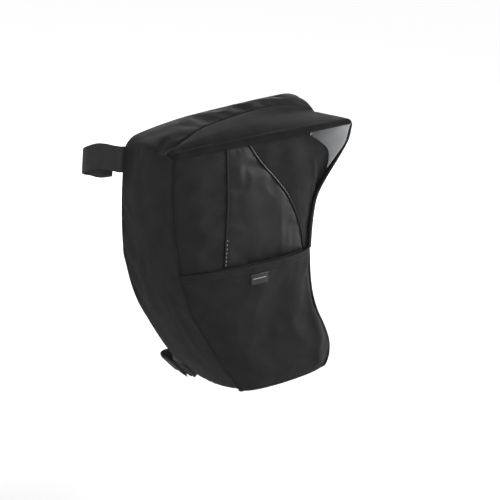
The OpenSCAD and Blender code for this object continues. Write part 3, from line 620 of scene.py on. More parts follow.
def front_depth(grid, C, T, depth):
    """The front panel's surface at a depth into its wall, mitred along the seams as the side strip is."""
    n = grid_normal(grid)
    n = np.where((n[..., 1] < 0)[..., None], -n, n)
    sides = np.zeros(grid.shape)
    x = (np.where(C <= 6, TIP + np.array([station_of(t) for t in T[:, 0]])[:, None], 0)) / (STATIONS - 1)
    left_in = along(into_bag, x) + np.array([0, 1.0, 0])
    d_left = np.linalg.norm(grid - grid[:, :1], axis=2)
    w = np.clip(1 - d_left / 9, 0, 1)[..., None] ** 2
    n = mix(n, left_in, w)
    if T[0, 0] < 1:
        x = (np.array([8 - station_of(t) for t in T[:, 0]])[:, None] + 0 * C) / (STATIONS - 1)
        right_in = along(into_bag, x) + np.array([0, 1.0, 0])
        d = np.linalg.norm(grid - grid[:, -1:], axis=2)
        n = mix(n, right_in, np.clip(1 - d / 12, 0, 1)[..., None] ** 2)
        s = column_share(C[0], T[0] * 0)
        low_in = along(into_bag, (TIP - 12 * s) / (STATIONS - 1)) + np.array([0, 1.0, 0])
        d = np.linalg.norm(grid - grid[:1], axis=2)
        n = mix(n, low_in[None], np.clip(1 - d / 9, 0, 1)[..., None] ** 2)
    return grid + depth * n


def station_of(t):
    """Stations from the tip up the left seam to height t."""
    if t <= 1 - HEM_SHARE:
        return 7 * t / (1 - HEM_SHARE)
    return 7 + (t - 1 + HEM_SHARE) / HEM_SHARE if t <= 1 else 8 + (t - 1) * 9


coated_nylon = cloth_paint("coated_nylon", (0.0117, 0.0117, 0.0125), (0.0172, 0.0172, 0.0187), pitch=0.0006, uneven=0.8,
                           height=0.00005, rough=0.4, sheen=0.0, specular=0.17)

def front_line(line):
    c, t = np.array(line).T
    return front_at(column_share(c, t), t)


UPPER_FOLDS = (
    ([[10.82, 1.743], [10.77, 1.635], [11.11, 1.495], [11.81, 1.355], [11.98, 1.194]], 1.1, 3.5),
    ([[7.12, 1.399], [6.57, 1.162], [6.37, 1.018]], 0.45, 2.5), ([[7.17, 1.222], [6.85, 1.018]], 0.4, 2.2),
    ([[7.5, 1.134], [7.36, 1.026]], 0.4, 2), ([[7.82, 1.09], [7.74, 1.026]], 0.35, 2),
    ([[4.02, 1.952], [4.69, 1.788], [3.82, 1.711]], 0.2, 4), ([[9.4, 1.9], [9.9, 1.6], [9.2, 1.4]], 0.5, 7),
    ([[1.2, 1.8], [1.6, 1.5], [1.1, 1.25]], 0.4, 7))
LOWER_FOLDS = (
    ([[12, 1.01], [10.89, .95], [9.62, .898], [8.71, .85], [8.2, .826]], 1.0, 4),
    ([[11.3, .97], [11.2, .85], [11.0, .7], [10.7, .55], [10.3, .4], [9.8, .25], [9.4, .1]], 3.2, 6),
    ([[6.71, .942], [7.0, .862], [6.85, .81]], 0.7, 3), ([[7.53, .958], [7.5, .9]], 0.5, 3),
    ([[6.01, .581], [5.9, .5], [5.77, .417]], 0.5, 5), ([[4.86, .6], [4.86, .517], [4.8, .44]], 0.4, 5),
    ([[7.36, .59], [7.36, .509], [7.3, .42]], 0.5, 5), ([[2.6, .9], [2.2, .7], [2.3, .5]], 0.45, 8))
upper_rows = np.linspace(1, 2, 66)
cut_columns = (np.linspace(0, 3, 25), np.linspace(3, 8, 37), np.linspace(8, 12, 33))
columns = np.concatenate([cut_columns[0], cut_columns[1][1:], cut_columns[2][1:]])
upper_front, upper_c, upper_t = front_grid(columns, upper_rows)
pinned = np.zeros(upper_front.shape[:2], bool)
pinned[0], pinned[-1], pinned[:, 0], pinned[:, -1] = True, True, True, True
pinned[:, 24] = pinned[:, 60] = True
settled_front = settled(upper_front, pinned, pressure=1.2, slack=0.003, stiff=15, cap=1.6)
upper_deep = front_depth(upper_front, upper_c, upper_t, DEEP)
out_of_bag = -unit(upper_deep - upper_front)
raised = sum(crease(upper_front, front_line(line), height, width)[0] for line, height, width in UPPER_FOLDS)
_, beside, fade = crease(upper_front, front_line(UPPER_FOLDS[0][0]), 1, 1)
step_down = np.clip(beside / 5, 0, 1)
raised = raised - 2.6 * step_down * step_down * (3 - 2 * step_down) * fade  # right of the ridge the panel lies lower
from_edge = edge_distance(upper_front, "d")[0]
raised = raised - (2.2 * np.clip(1 - from_edge / 9, 0, 1) ** 2 * np.clip((1.55 - upper_t) / 0.1, 0, 1)
                   * np.clip((upper_t - 1.03) / 0.1, 0, 1))
raised = np.maximum(raised, -3.8)
for name, first, last, paint, replaced in (
        ("front_left_panel", 0, 24, black_nylon, ("front_left",)),
        ("coated_insert", 24, 60, coated_nylon, ("front_insert",)),
        ("front_right_panel", 60, 92, black_nylon, ("front_right", "front_foam"))):
    cut = slice(first, last + 1)
    grid = settled_front[:, cut]
    far, spread = edge_distance(grid, "cd" if last < 92 else "c")
    left_seam = edge_distance(grid, "c")[0]
    drawn = tucked(far, 1.2, 1.5) + (tucked(left_seam, 1.6, 1.8) if first == 0 else 0)
    creased = wrinkles(grid, 5 + first, 34, 0.2) + wrinkles(grid, 6, 14, 0.05)
    drawn = drawn + creased * np.clip(far / 10, 0, 1) - raised[:, cut]
    grid = grid - out_of_bag[:, cut] * drawn[..., None]
    piece = shell_piece(name, grid, upper_deep[:, cut], paint, uv=spread)
    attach(piece, "bag")
    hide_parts(*replaced)

lower_rows = np.linspace(0, 1, 60)
lower_front, lower_c, lower_t = front_grid(columns, lower_rows)
lower_deep = front_depth(lower_front, lower_c, lower_t, DEEP)
base_panel = shell_piece("front_base_panel", lower_front, lower_deep, black_nylon)
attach(base_panel, "bag")
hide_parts("front_base")

# ---------- slip pocket ----------
# A flat pocket of the same nylon, sewn into the left, bottom and right seams, with a folded hem along its mouth
# and a blank woven label under the hem.
GAPE = 5.5


def pocket_at(grid, C, T, out, thick):
    s, up = column_share(C, T), np.clip((T - 0.35) / 0.65, 0, 1)
    gap = GAPE * np.sin(math.pi * s) ** 1.5 * up * up
    edge = (T <= 0) | (s <= 0) | (s >= 1)
    away = np.where(edge[..., None], np.array([0, -1.0, 0]), out)
    return grid + away * (np.where(edge, 0, gap) + thick)[..., None]


n = -grid_normal(lower_front)
pocket_out = np.where((n[..., 1] > 0)[..., None], -n, n)
pocket_inner = pocket_at(lower_front, lower_c, lower_t, pocket_out, 0 * lower_t)
pocket_outer = pocket_at(lower_front, lower_c, lower_t, pocket_out, 0 * lower_t + SKIN)
pinned = np.zeros(pocket_outer.shape[:2], bool)
pinned[0], pinned[-1], pinned[:, 0], pinned[:, -1] = True, True, True, True
pocket_soft = settled(pocket_outer, pinned, pressure=0.9, slack=0.005, stiff=12, cap=1.6)
near = edge_distance(pocket_soft, "acd")[0]
near_left = edge_distance(pocket_soft, "c")[0]
raised = sum(crease(lower_front, front_line(line), height, width)[0] for line, height, width in LOWER_FOLDS)
near_right = edge_distance(pocket_soft, "d")[0]
raised = raised + 4.2 * (1 - np.exp(-near_right / 10)) * np.exp(-(near_right / 60) ** 2)  # fullest near its right edge
drawn = tucked(near, 0.8, 1.4) + tucked(near_left, 1.8, 2.0)
creased = wrinkles(pocket_soft, 11, 46, 0.3) + wrinkles(pocket_soft, 12, 16, 0.07)
drawn = drawn + (creased - raised) * np.clip(near / 10, 0, 1)
shift = pocket_soft - pocket_outer - pocket_out * drawn[..., None]
pocket = shell_piece("slip_pocket", pocket_outer + shift,
                     pocket_inner + shift * np.clip(near / 6, 0, 1)[..., None], black_nylon, roll=0.2)
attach(pocket, "bag")
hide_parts("pocket_panel")
hem_rows = np.linspace(1 - HEM_SHARE, 1, 9)


def on_rows(values, rows, wanted):
    """A grid read again at other heights."""
    out = np.empty((len(wanted),) + values.shape[1:])
    for n, t in enumerate(wanted):
        i = min(int(np.searchsorted(rows, t, side="right")) - 1, len(rows) - 2)
        out[n] = mix(values[i], values[i + 1], (t - rows[i]) / (rows[i + 1] - rows[i]))
    return out


hem_under = on_rows(pocket_outer + shift, lower_rows, hem_rows)
hem_out = on_rows(pocket_out, lower_rows, hem_rows)
lift = 0.8 * np.ones(hem_under.shape[:2])
lift[0] = 0.25
hem = shell_piece("pocket_hem_fold", hem_under + hem_out * lift[..., None], hem_under + hem_out * 0.02,
                  black_nylon, roll=0.3)
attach(hem, "bag")
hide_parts("pocket_hem")

# ---------- hood ----------
# The rain hood is one cover of lined black nylon from its seam on top to the lip in front, shaped round the line
# where it folds up over the mouth. A wing of the same make hangs from its right end.
HINGE_LIFT, FOLD_OUT, HOOD_FOAM, GAP = 3, 1.5, 1.5, 0.5
HOOD = SKIN + HOOD_FOAM + LINING
LIP_CLEAR, LIP_FRONT, LIP_IN, LIP_START = 0.5, 3, 6, 0.86
fold_left = hood_seam(0) + np.array([0, -FOLD_OUT, HOOD + 0.5])
fold_right = hood_seam(1) + np.array([0, -FOLD_OUT, 0])
CORNER_POINT = front_at(0, 2)


def fold_line(u):
    u = np.asarray(u, float)[..., None]
    return mix(fold_left, fold_right, u) + np.array([0, 0, 1.0]) * (HINGE_LIFT - 0.2) * 4 * u * (1 - u)


def lip(u):
    u = np.asarray(u, float)
    return np.stack([mix(CORNER_POINT[0] - 1, 101, u), -(DEPTH + LIP_FRONT + 2 * np.sin(math.pi * u)),
                     mix(CORNER_POINT[2] + LIP_CLEAR, 125, u)], -1)


def hood_at(u, r, depth=0.0):
    """The hood: u from its left end to its right one, r from the fold to the lower edge of its lip."""
    u, r = np.broadcast_arrays(np.asarray(u, float), np.asarray(r, float))
    a, b, q = fold_line(u), lip(u), np.minimum(r / LIP_START, 1)
    turn = math.pi / 2 * np.clip((r - LIP_START) / (1 - LIP_START), 0, 1)
    drop = HOOD + LIP_CLEAR
    x = mix(a[..., 0], b[..., 0], r)
    y = mix(mix(a[..., 1], b[..., 1] + LIP_IN, q), b[..., 1], np.sin(turn))
    z = mix(a[..., 2], b[..., 2] + drop, q) - drop * (1 - np.cos(turn))
    into = np.stack([np.where(u > 0.99, -1.0, 0.0), np.sin(turn), -np.cos(turn)], -1)
    return np.stack([x, y, z], -1) + depth * into


def hood_arch(u, w):
    """How far the soft cover arches over the straight line it folds along, in millimetres."""
    u, w = np.broadcast_arrays(np.asarray(u, float), np.asarray(w, float))
    return ARCH * np.sin(math.pi * np.clip(u, 0, 1)) ** 0.7 * np.where(
        w < 0, (1 - np.clip(-w, 0, 1)) ** 0.8, np.cos(math.pi / 2 * np.clip(w / 0.93, 0, 1)) ** 0.8)


ARCH = 6.5


def cover_at(u, w, depth=0.0):
    """The whole cover: w from -1 at the hood's seam through 0 at the fold to 1 at the lip."""
    u, w = np.broadcast_arrays(np.asarray(u, float), np.asarray(w, float))
    leaf = hood_at(u, np.maximum(w, 0), depth)
    k = (HOOD_START + 10 * u) / (STATIONS - 1)
    back = along(front_seam, k) + depth * along(front_into_bag, k)
    fold = hood_at(u, 0 * u, depth)
    start = back + unit(fold - back) * 0.2
    sheet = np.where((w < 0)[..., None], mix(fold, start, np.minimum(-w, 1)[..., None]), leaf)
    return sheet + hood_arch(u, w)[..., None] * np.array([0, -0.15, 1.0])


hood_u = np.linspace(0, 1, 96)
hood_w = np.concatenate([np.linspace(-1, 0, 9)[:-1], np.linspace(0, LIP_START, 30), np.linspace(LIP_START, 1, 11)[1:]])
U, HW = np.meshgrid(hood_u, hood_w)
cover_outer = cover_at(U, HW)
cover_inner = cover_at(U, HW, SKIN + HOOD_FOAM)
for _ in range(12):  # the cover has no crease along its fold while it is shut
    mid = cover_outer.copy()
    mid[1:-1] = (cover_outer[:-2] + 2 * cover_outer[1:-1] + cover_outer[2:]) / 4
    keep = np.clip(np.abs(HW) / 0.25, 0, 1)[..., None]
    keep[HW < -0.9] = 1
    cover_outer = mix(mid, cover_outer, keep)
near = edge_distance(cover_outer, "a")[0]
cover_down = unit(cover_inner - cover_outer)
end_near = np.clip(1 - edge_distance(cover_outer, "c")[0] / 6, 0, 1)
# its left end is sewn down
cover_outer = cover_outer + cover_down * (2.5 * (1 - np.sqrt(1 - end_near ** 2)))[..., None]
drawn = tucked(near, 2.4, 1.5 + 1.2 * np.clip(U * 4 - 3, 0, 1))
drawn = drawn + wrinkles(cover_outer, 21, 40, 0.2) * np.clip(near / 10, 0, 1)
cover_outer = cover_outer + cover_down * drawn[..., None]
# A darker copy of the black nylon for the hood cover: painted shade that keeps its up-facing leaf as dark as the rest
# of the bag.
hood_nylon_painted_shade = cloth_paint("hood_nylon_painted_shade", (0.013, 0.013, 0.014), (0.027, 0.027, 0.028), sheen=0.01, specular=0.02)
cover = shell_piece("hood_cover", cover_outer, cover_inner, hood_nylon_painted_shade, roll=0.3)
hinge_way = unit(fold_right - fold_left)
across = unit(np.cross(hinge_way, np.array([0, 0, 1.0])))
across = across if across[1] < 0 else -across
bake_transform(cover)
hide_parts("hood_yoke", "hood_top", "hood_padding")

# The lining nylon's pale grey is painted near white: painted light that stands in for light the lining gets too little
# of inside the bag.
painted_light_lining = cloth_paint("grey_lining_nylon_painted_light", (0.86, 0.87, 0.88), (0.94, 0.95, 0.96), pitch=0.0005, uneven=0.5,
                         height=0.00005, rough=0.6, sheen=0.1, specular=0.3)
U_in, W_in = 0.018 + 0.97 * U, np.where(HW > 0, HW * 0.985, HW)
hood_under = shell_piece("hood_lining_sheet", cover_at(U_in, W_in, SKIN + HOOD_FOAM),
                         cover_at(U_in, W_in, HOOD), painted_light_lining, roll=0.1)
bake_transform(hood_under)
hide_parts("hood_lining")

WING_FRONT = [[101, -96, 125], [98, -94.5, 109], [87, -92.5, 91], [74, -91, 73], [63.8, -90, 55],
              [59.3, -89.5, 31], [57.2, -89.5, 4.8]]
WING_LOW, WING_FOAM = HEM + 0.3, HOOD_FOAM / 2


def wing_at(w, v, depth=0.0):
    """The wing: w from the hood down to its lower end, v from its back to its bound front edge."""
    w, v = np.broadcast_arrays(np.asarray(w, float), np.asarray(v, float))
    p = along(SIDE_SEAM, w)
    back = np.stack([p[..., 0] + 0.4, mix(-33, -FIXED_STRIP, np.minimum(1, w * 4)) - GAP - 0.3
                     + 5.5 * np.clip(1.3 - w * 5, 0, 1),
                     np.maximum(p[..., 1], WING_LOW)], -1)
    front = along(WING_FRONT, w)
    front[..., 2] = np.maximum(front[..., 2], WING_LOW)
    start = hood_at(np.ones_like(v), v)
    share = v
    low = mix(back, front, share[..., None])
    low[..., 0] += np.sin(math.pi * v) * np.sin(math.pi * w) * BULGE
    top = np.clip(1 - w / 0.11, 0, 1)[..., None]
    into = unit(np.stack([-np.ones_like(w), 0 * w, -0.25 * (1 - w)], -1))
    at_top = np.stack([-np.ones_like(w), 0 * w, -np.ones_like(w)], -1)
    return mix(low, start, top ** 1.0) + depth * mix(into, at_top, top)


wing_w, wing_v = np.linspace(0, 1, 70), np.linspace(0, 1, 60)
WW, WV = np.meshgrid(wing_w, wing_v, indexing="ij")
black_edge_share = 0.02 + 0.16 * np.clip((WW - 0.2) / 0.35, 0, 1)  # the lining stops this share short of the wing's front edge, more towards its lower end, and the black shell is thickened there in its place
wing_inner = SKIN + (WING_FOAM + LINING) * np.clip((WV - 1 + black_edge_share) / 0.02, 0, 1)
wing = shell_piece("hood_wing_panel", wing_at(WW, WV), wing_at(WW, WV, wing_inner[..., None]), black_nylon, roll=0.2)
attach(wing, "lid")
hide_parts("hood_wing")
V_in = 0.01 + WV * (0.985 - black_edge_share)
wing_under = shell_piece("wing_lining_sheet", wing_at(WW, V_in, SKIN),
                         wing_at(WW, V_in, SKIN + WING_FOAM + LINING), painted_light_lining, roll=0.1)
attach(wing_under, "lid")
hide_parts("wing_lining")


def refined(node, name, paint, body, edge=0.0003, pieces=2):
    """A small sewn or cut piece: its CAD solid with rounded edges and a flat map of its own."""
    import bmesh
    bm = bmesh.new()
    bm.from_mesh(nodes[node].data)
    bmesh.ops.remove_doubles(bm, verts=bm.verts, dist=1e-6)
    bmesh.ops.dissolve_limit(bm, angle_limit=math.radians(1), verts=bm.verts, edges=bm.edges)
    sharp = [e for e in bm.edges if e.is_manifold and e.calc_face_angle(0) > math.radians(40)]
    bmesh.ops.bevel(bm, geom=sharp, offset=edge, segments=pieces, affect="EDGES", clamp_overlap=True)
    bmesh.ops.triangulate(bm, faces=[f for f in bm.faces if len(f.verts) > 4])
    layer = bm.loops.layers.uv.new("cloth")
    for face in bm.faces:
        side = max(range(3), key=lambda a: abs(face.normal[a]))
        for loop in face.loops:
            c = loop.vert.co
            loop[layer].uv = [(c.y, c.z), (c.x, c.z), (c.x, c.y)][side]
        face.smooth = True
    mesh = bpy.data.meshes.new(name)
    bm.to_mesh(mesh)
    bm.free()
    mesh.materials.append(paint)
    piece = bpy.data.objects.new(name, mesh)
    bpy.context.scene.collection.objects.link(piece)
    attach(piece, body)
    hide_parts(node)
    return piece


def tube(name, centre, out, side, paint, half_out, half_side, square=2.6, corners=14):
    """A tape or cord laid along a line: its cut is a rounded square between the directions out and side."""
    turn = np.linspace(0, 2 * math.pi, corners, endpoint=False)
    cx = np.sign(np.cos(turn)) * np.abs(np.cos(turn)) ** (2 / square) * half_out
    sx = np.sign(np.sin(turn)) * np.abs(np.sin(turn)) ** (2 / square) * half_side
    rings = centre[:, None] + out[:, None] * cx[None, :, None] + side[:, None] * sx[None, :, None]
    rows = len(centre)
    travel = np.concatenate([[0], np.cumsum(np.linalg.norm(np.diff(centre, axis=0), axis=1))])
    round_way = np.arange(corners) * (math.pi * (half_out + half_side) / corners)
    points = np.concatenate([rings.reshape(-1, 3), centre[:1], centre[-1:]])
    maps = np.concatenate([np.stack(np.meshgrid(round_way, travel), -1).reshape(-1, 2), [[0, 0]], [[0, travel[-1]]]])
    faces = [(i * corners + j, i * corners + (j + 1) % corners,
              (i + 1) * corners + (j + 1) % corners, (i + 1) * corners + j)
             for i in range(rows - 1) for j in range(corners)]
    size = rows * corners
    faces += [(size, (j + 1) % corners, j) for j in range(corners)]
    faces += [(size + 1, size - corners + j, size - corners + (j + 1) % corners) for j in range(corners)]
    return closed_mesh(name, points, faces, maps, paint)


# ---------- bound edges and piping ----------
# Ribbed tape folded over the bottom and lower right seam, the same tape on the wing's front edge, and a thin
# coated piping sewn into the two seams of the insert.
black_tape = cloth_paint("black_tape", (0.010, 0.010, 0.011), (0.024, 0.024, 0.025), pitch=0.0012, ribs=0.5, uneven=0.3,
                         height=0.0002, rough=0.75, sheen=0.03, specular=0.2)
k = even_stations(0, TIP, 1.8)
seam_line, seam_out = along(front_seam, k / (STATIONS - 1)), -unit(along(into_bag, k / (STATIONS - 1)))
back_way = unit(side_at(k, 0.75) - seam_line)
stands = (0.1 + 0.9 * np.clip((TIP - k) / max(1, TIP) * 14, 0, 1))[:, None]  # it is sewn down into the bottom's tip
bound = tube("bottom_binding", seam_line + seam_out * 1.05 * stands + back_way * 0.25, seam_out, back_way,
             black_tape, 1.35, 1.55)
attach(bound, "bag")
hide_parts("edge_binding")

w = np.linspace(0.012, 1, 90)
wing_edge, wing_in = wing_at(w, 1.0), wing_at(w, 1.0, 1.0) - wing_at(w, 1.0)
edge_way = unit(np.gradient(wing_edge, axis=0))
ahead = unit(np.cross(edge_way, wing_in))
ahead = np.where((ahead[:, 1] > 0)[:, None], -ahead, ahead)
thick_half = (SKIN + WING_FOAM + LINING) / 2
wing_tape = tube("wing_edge_binding", wing_edge + unit(wing_in) * thick_half + ahead * 0.1, ahead, unit(wing_in),
                 black_tape, 0.8, thick_half + 0.3)
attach(wing_tape, "lid")
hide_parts("wing_binding")

piping_coat = cloth_paint("coated_piping", (0.014, 0.014, 0.015), (0.022, 0.022, 0.023), pitch=0.0005, uneven=0.2,
                          height=0.00002, rough=0.3, sheen=0.0, specular=0.18)
for name, column, node in (("left_piping", 24, "piping_left"), ("right_piping", 60, "piping_right")):
    seam = upper_front[:, column][1:]
    out = out_of_bag[:, column][1:]
    way = unit(np.gradient(seam, axis=0))
    cord = tube(name, seam + out * 0.25, out, unit(np.cross(way, out)), piping_coat, 0.8, 0.8, square=2.0, corners=10)
    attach(cord, "bag")
    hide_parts(node)

# ---------- label ----------
# A small woven label sewn on under the hem. It is blank but for one plain pale line.
LABEL_WIDE, LABEL_HIGH = 20, 10.5


def surface_of(*pieces):
    """One search tree over the finished meshes of some pieces."""
    points, faces = [], []
    for piece in pieces:
        base = len(points)
        points += [v.co.copy() for v in piece.data.vertices]
        faces += [[base + v for v in f.vertices] for f in piece.data.polygons]
    return BVHTree.FromPolygons(points, faces)


def draped(grid, tree, way=(0, 1, 0)):
    """A grid laid on a surface from in front of it."""
    way = np.array(way, float)
    out = grid.copy()
    for place in np.ndindex(grid.shape[:-1]):
        hit = tree.ray_cast(Vector((grid[place] - way * 25) * MM), Vector(way))[0]
        if hit is not None:
            out[place] = np.array(hit) / MM
    return out


label_paint = cloth_paint("label_weave", (0.008, 0.008, 0.009), (0.016, 0.016, 0.017), pitch=0.0004, rough=0.6,
                          sheen=0.0)
t = label_paint.node_tree
label_map = t.nodes.new("ShaderNodeSeparateXYZ")
t.links.new(t.nodes["UV Map"].outputs[0], label_map.inputs[0])
line_mask = None
for axis, middle, half in ((0, LABEL_WIDE / 2 * MM, (LABEL_WIDE / 2 - 2.5) * MM), (1, 4.4 * MM, 0.35 * MM)):
    off = t.nodes.new("ShaderNodeMath")
    off.operation = "COMPARE"
    off.inputs[1].default_value, off.inputs[2].default_value = middle, half
    t.links.new(label_map.outputs[axis], off.inputs[0])
    if line_mask is None:
        line_mask = off
    else:
        both = t.nodes.new("ShaderNodeMath")
        both.operation = "MULTIPLY"
        t.links.new(line_mask.outputs[0], both.inputs[0])
        t.links.new(off.outputs[0], both.inputs[1])
        line_mask = both
pale = t.nodes.new("ShaderNodeMixRGB")
pale.inputs[2].default_value = (0.42, 0.42, 0.42, 1)
t.links.new(line_mask.outputs[0], pale.inputs[0])
t.links.new(t.nodes["Color Ramp"].outputs[0], pale.inputs[1])
t.links.new(pale.outputs[0], t.nodes["Principled BSDF"].inputs["Base Color"])
pocket_tree = surface_of(pocket, hem)
label_middle = np.array(on_surface("label", pocket_tree)) / MM
label_across = unit(front_at(column_share(8.0, 0.9), 0.9) - front_at(column_share(6.0, 0.9), 0.9))
label_down = unit(np.cross(np.array([0, -1.0, 0]), label_across))
label_down = label_down if label_down[2] < 0 else -label_down
label_across = unit(np.cross(label_down, np.array([0, -1.0, 0]))) * np.sign(label_across[0])
label_across = label_across if label_across[0] > 0 else -label_across
A, B = np.meshgrid(np.linspace(-0.5, 0.5, 23) * LABEL_WIDE, np.linspace(-0.5, 0.5, 13) * LABEL_HIGH)
label_grid = draped(label_middle + A[..., None] * label_across + B[..., None] * label_down, pocket_tree)
label_uv = np.stack([A + LABEL_WIDE / 2, B + LABEL_HIGH / 2], -1)
label = shell_piece("blank_label", label_grid + np.array([0, -0.75, 0]), label_grid + np.array([0, -0.05, 0]),
                    label_paint, uv=label_uv, roll=0.15)
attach(label, "bag")
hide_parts("pocket_label")

# ---------- lining, facing and closure ----------
# Light grey nylon sheets inside the walls and a turned-in facing round the mouth, in the lining nylon whose grey is
# painted near white as painted light, and the hook and loop tapes.
def lining_piece(name, outer, inner, node, body="bag"):
    piece = shell_piece(name, outer, inner, painted_light_lining, roll=0.0)
    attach(piece, body)
    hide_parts(node)
    return piece


k = even_stations(0, STATIONS - 1, 4)
K, V = np.meshgrid(k, np.linspace(0, 1, 22), indexing="ij")
lining_piece("side_lining", side_at(K, V, DEEP) , side_at(K, V, WALL), "gusset_lining")
rows_all = np.concatenate([np.linspace(0, 1, 31)[:-1], np.linspace(1, 2, 34)])
front_all, front_c, front_t = front_grid(columns[::2], rows_all)
deep_a, deep_b = front_depth(front_all, front_c, front_t, DEEP), front_depth(front_all, front_c, front_t, WALL)
lining_piece("front_lining_sheet", deep_a, deep_b, "front_lining")
hook_paint = cloth_paint("hook_and_loop", (0.008, 0.008, 0.008), (0.030, 0.030, 0.031), pitch=0.0011, uneven=2.0,
                         height=0.0005, rough=0.9, sheen=0.15, specular=0.2)
refined("mouth_facing", "mouth_facing_strip", painted_light_lining, "bag")
refined("loop_strip", "loop_tape", hook_paint, "bag")
refined("hook_strip", "hook_tape", hook_paint, "lid")
refined("back_lining", "back_lining_sheet", painted_light_lining, "bag")

# ---------- back ----------
# A flat back of the black nylon on foam and a stiff board, with a rubbery pad that keeps the bag from slipping.
board_paint = bpy.data.materials.new("board_plastic")
board_paint.use_nodes = True
grain = board_paint.node_tree.nodes.new("ShaderNodeTexNoise")
grain.inputs["Scale"].default_value = 400
ramp = board_paint.node_tree.nodes.new("ShaderNodeValToRGB")
ramp.color_ramp.elements[0].color, ramp.color_ramp.elements[1].color = (0.05, 0.05, 0.05, 1), (0.08, 0.08, 0.08, 1)
board_paint.node_tree.links.new(grain.outputs[0], ramp.inputs[0])
board_paint.node_tree.links.new(ramp.outputs[0], board_paint.node_tree.nodes["Principled BSDF"].inputs["Base Color"])
nodes["back_board"].data.materials.clear()
nodes["back_board"].data.materials.append(board_paint)

k = even_stations(0, STATIONS - 1, 2.6)
outline = along(rear_seam, k / (STATIONS - 1))
rings = np.concatenate([np.linspace(0, 0.06, 5), np.linspace(0.1, 0.97, 22)])


def back_disc(name, edge, y_out, y_in, rings, paint, dome=None):
    """A flat piece cut to an outline round the middle of the back."""
    count = len(edge)
    points, maps = [], []
    for y, list_ in ((y_out, rings), (y_in, rings)):
        for r in list_:
            p = edge * (1 - r)
            p = p.copy()
            p[:, 1] = y + (dome(edge, r) if dome and y == y_out else 0)
            points.append(p)
            maps.append(p[:, [0, 2]])
        points.append(np.array([[0, y, 0]]))
        maps.append(np.array([[0, 0]]))
    n = len(rings)
    size = n * count + 1
    faces = []
    for a in range(n - 1):
        faces += [(a * count + i, a * count + (i + 1) % count, (a + 1) * count + (i + 1) % count, (a + 1) * count + i)
                  for i in range(count)]
    faces += [((n - 1) * count + i, (n - 1) * count + (i + 1) % count, n * count) for i in range(count)]
    faces += [tuple(size + v for v in reversed(f)) for f in faces]
    faces += [((i + 1) % count, i, size + i, size + (i + 1) % count) for i in range(count)]
    return closed_mesh(name, np.concatenate(points), faces, np.concatenate(maps), paint)


back_panel = back_disc("back_panel_padded", outline, -PAD, -(PAD + SKIN + FOAM), rings, black_nylon,
                       dome=lambda edge, r: (-0.9 * math.exp(-(r / 0.02) ** 2)
                                             + 0.35 * math.exp(-((r - 0.07) / 0.05) ** 2)))
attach(back_panel, "bag")
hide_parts("back_panel", "back_foam")
grip_paint = cloth_paint("grip_pad", (0.012, 0.012, 0.012), (0.022, 0.022, 0.022), pitch=0.003, uneven=0.05,
                         height=0.0006, rough=0.62, sheen=0.0, specular=0.35)
pad_edge = outline * (1 - 26 / np.linalg.norm(outline[:, [0, 2]], axis=1))[:, None]
pad_rings = np.concatenate([[0, 0.006, 0.012, 0.02], np.linspace(0.05, 0.97, 16)])
pad = back_disc("back_grip_pad", pad_edge, 0.0, -PAD, pad_rings, grip_paint,
                dome=lambda edge, r: -0.8 * max(0, 1 - r / 0.012) ** 2)
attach(pad, "bag")
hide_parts("back_pad")

# ---------- strap loops ----------
# Black 25 mm webbing. It leaves the back's seam, turns round in a loop and comes back to a hook and loop patch,
# so the loop opens to go round a bar of the mounting frame.
WEB, WEB_THICK, LOOP_LONG, ROOT_GAP, HINGE_OUT, ROOT_LONG = 25, 1.6, 38, 1.6, 1.2, 18
TAIL_WAY = WEB_THICK + 2 * 1 + 0.3
webbing_paint = cloth_paint("black_webbing", (0.028, 0.028, 0.029), (0.060, 0.060, 0.062), pitch=0.0014, ribs=0.6,
                            uneven=0.4, height=0.00035, rough=0.75, sheen=0.03, specular=0.14)


def loop_shape(gap, near):
    m = TAIL_WAY / 2
    outer = near * 0.6
    return [[0, 0, 0], [0.2, 0, -0.05], [0.42, -0.3 - near * 0.16, -0.15], [0.62, m - gap * 0.42 - near * 0.8, -0.15],
            [0.84, m - gap * 0.47 - near, 0.2], [1, m - outer, 0.65], [0.84, m + gap * 0.47 - outer, 0.9],
            [0.62, m + gap * 0.42 - outer, 1.0], [0.42, TAIL_WAY + 0.3 - near * 0.1, 0.85], [0.2, TAIL_WAY - 0.1, 0.62]]


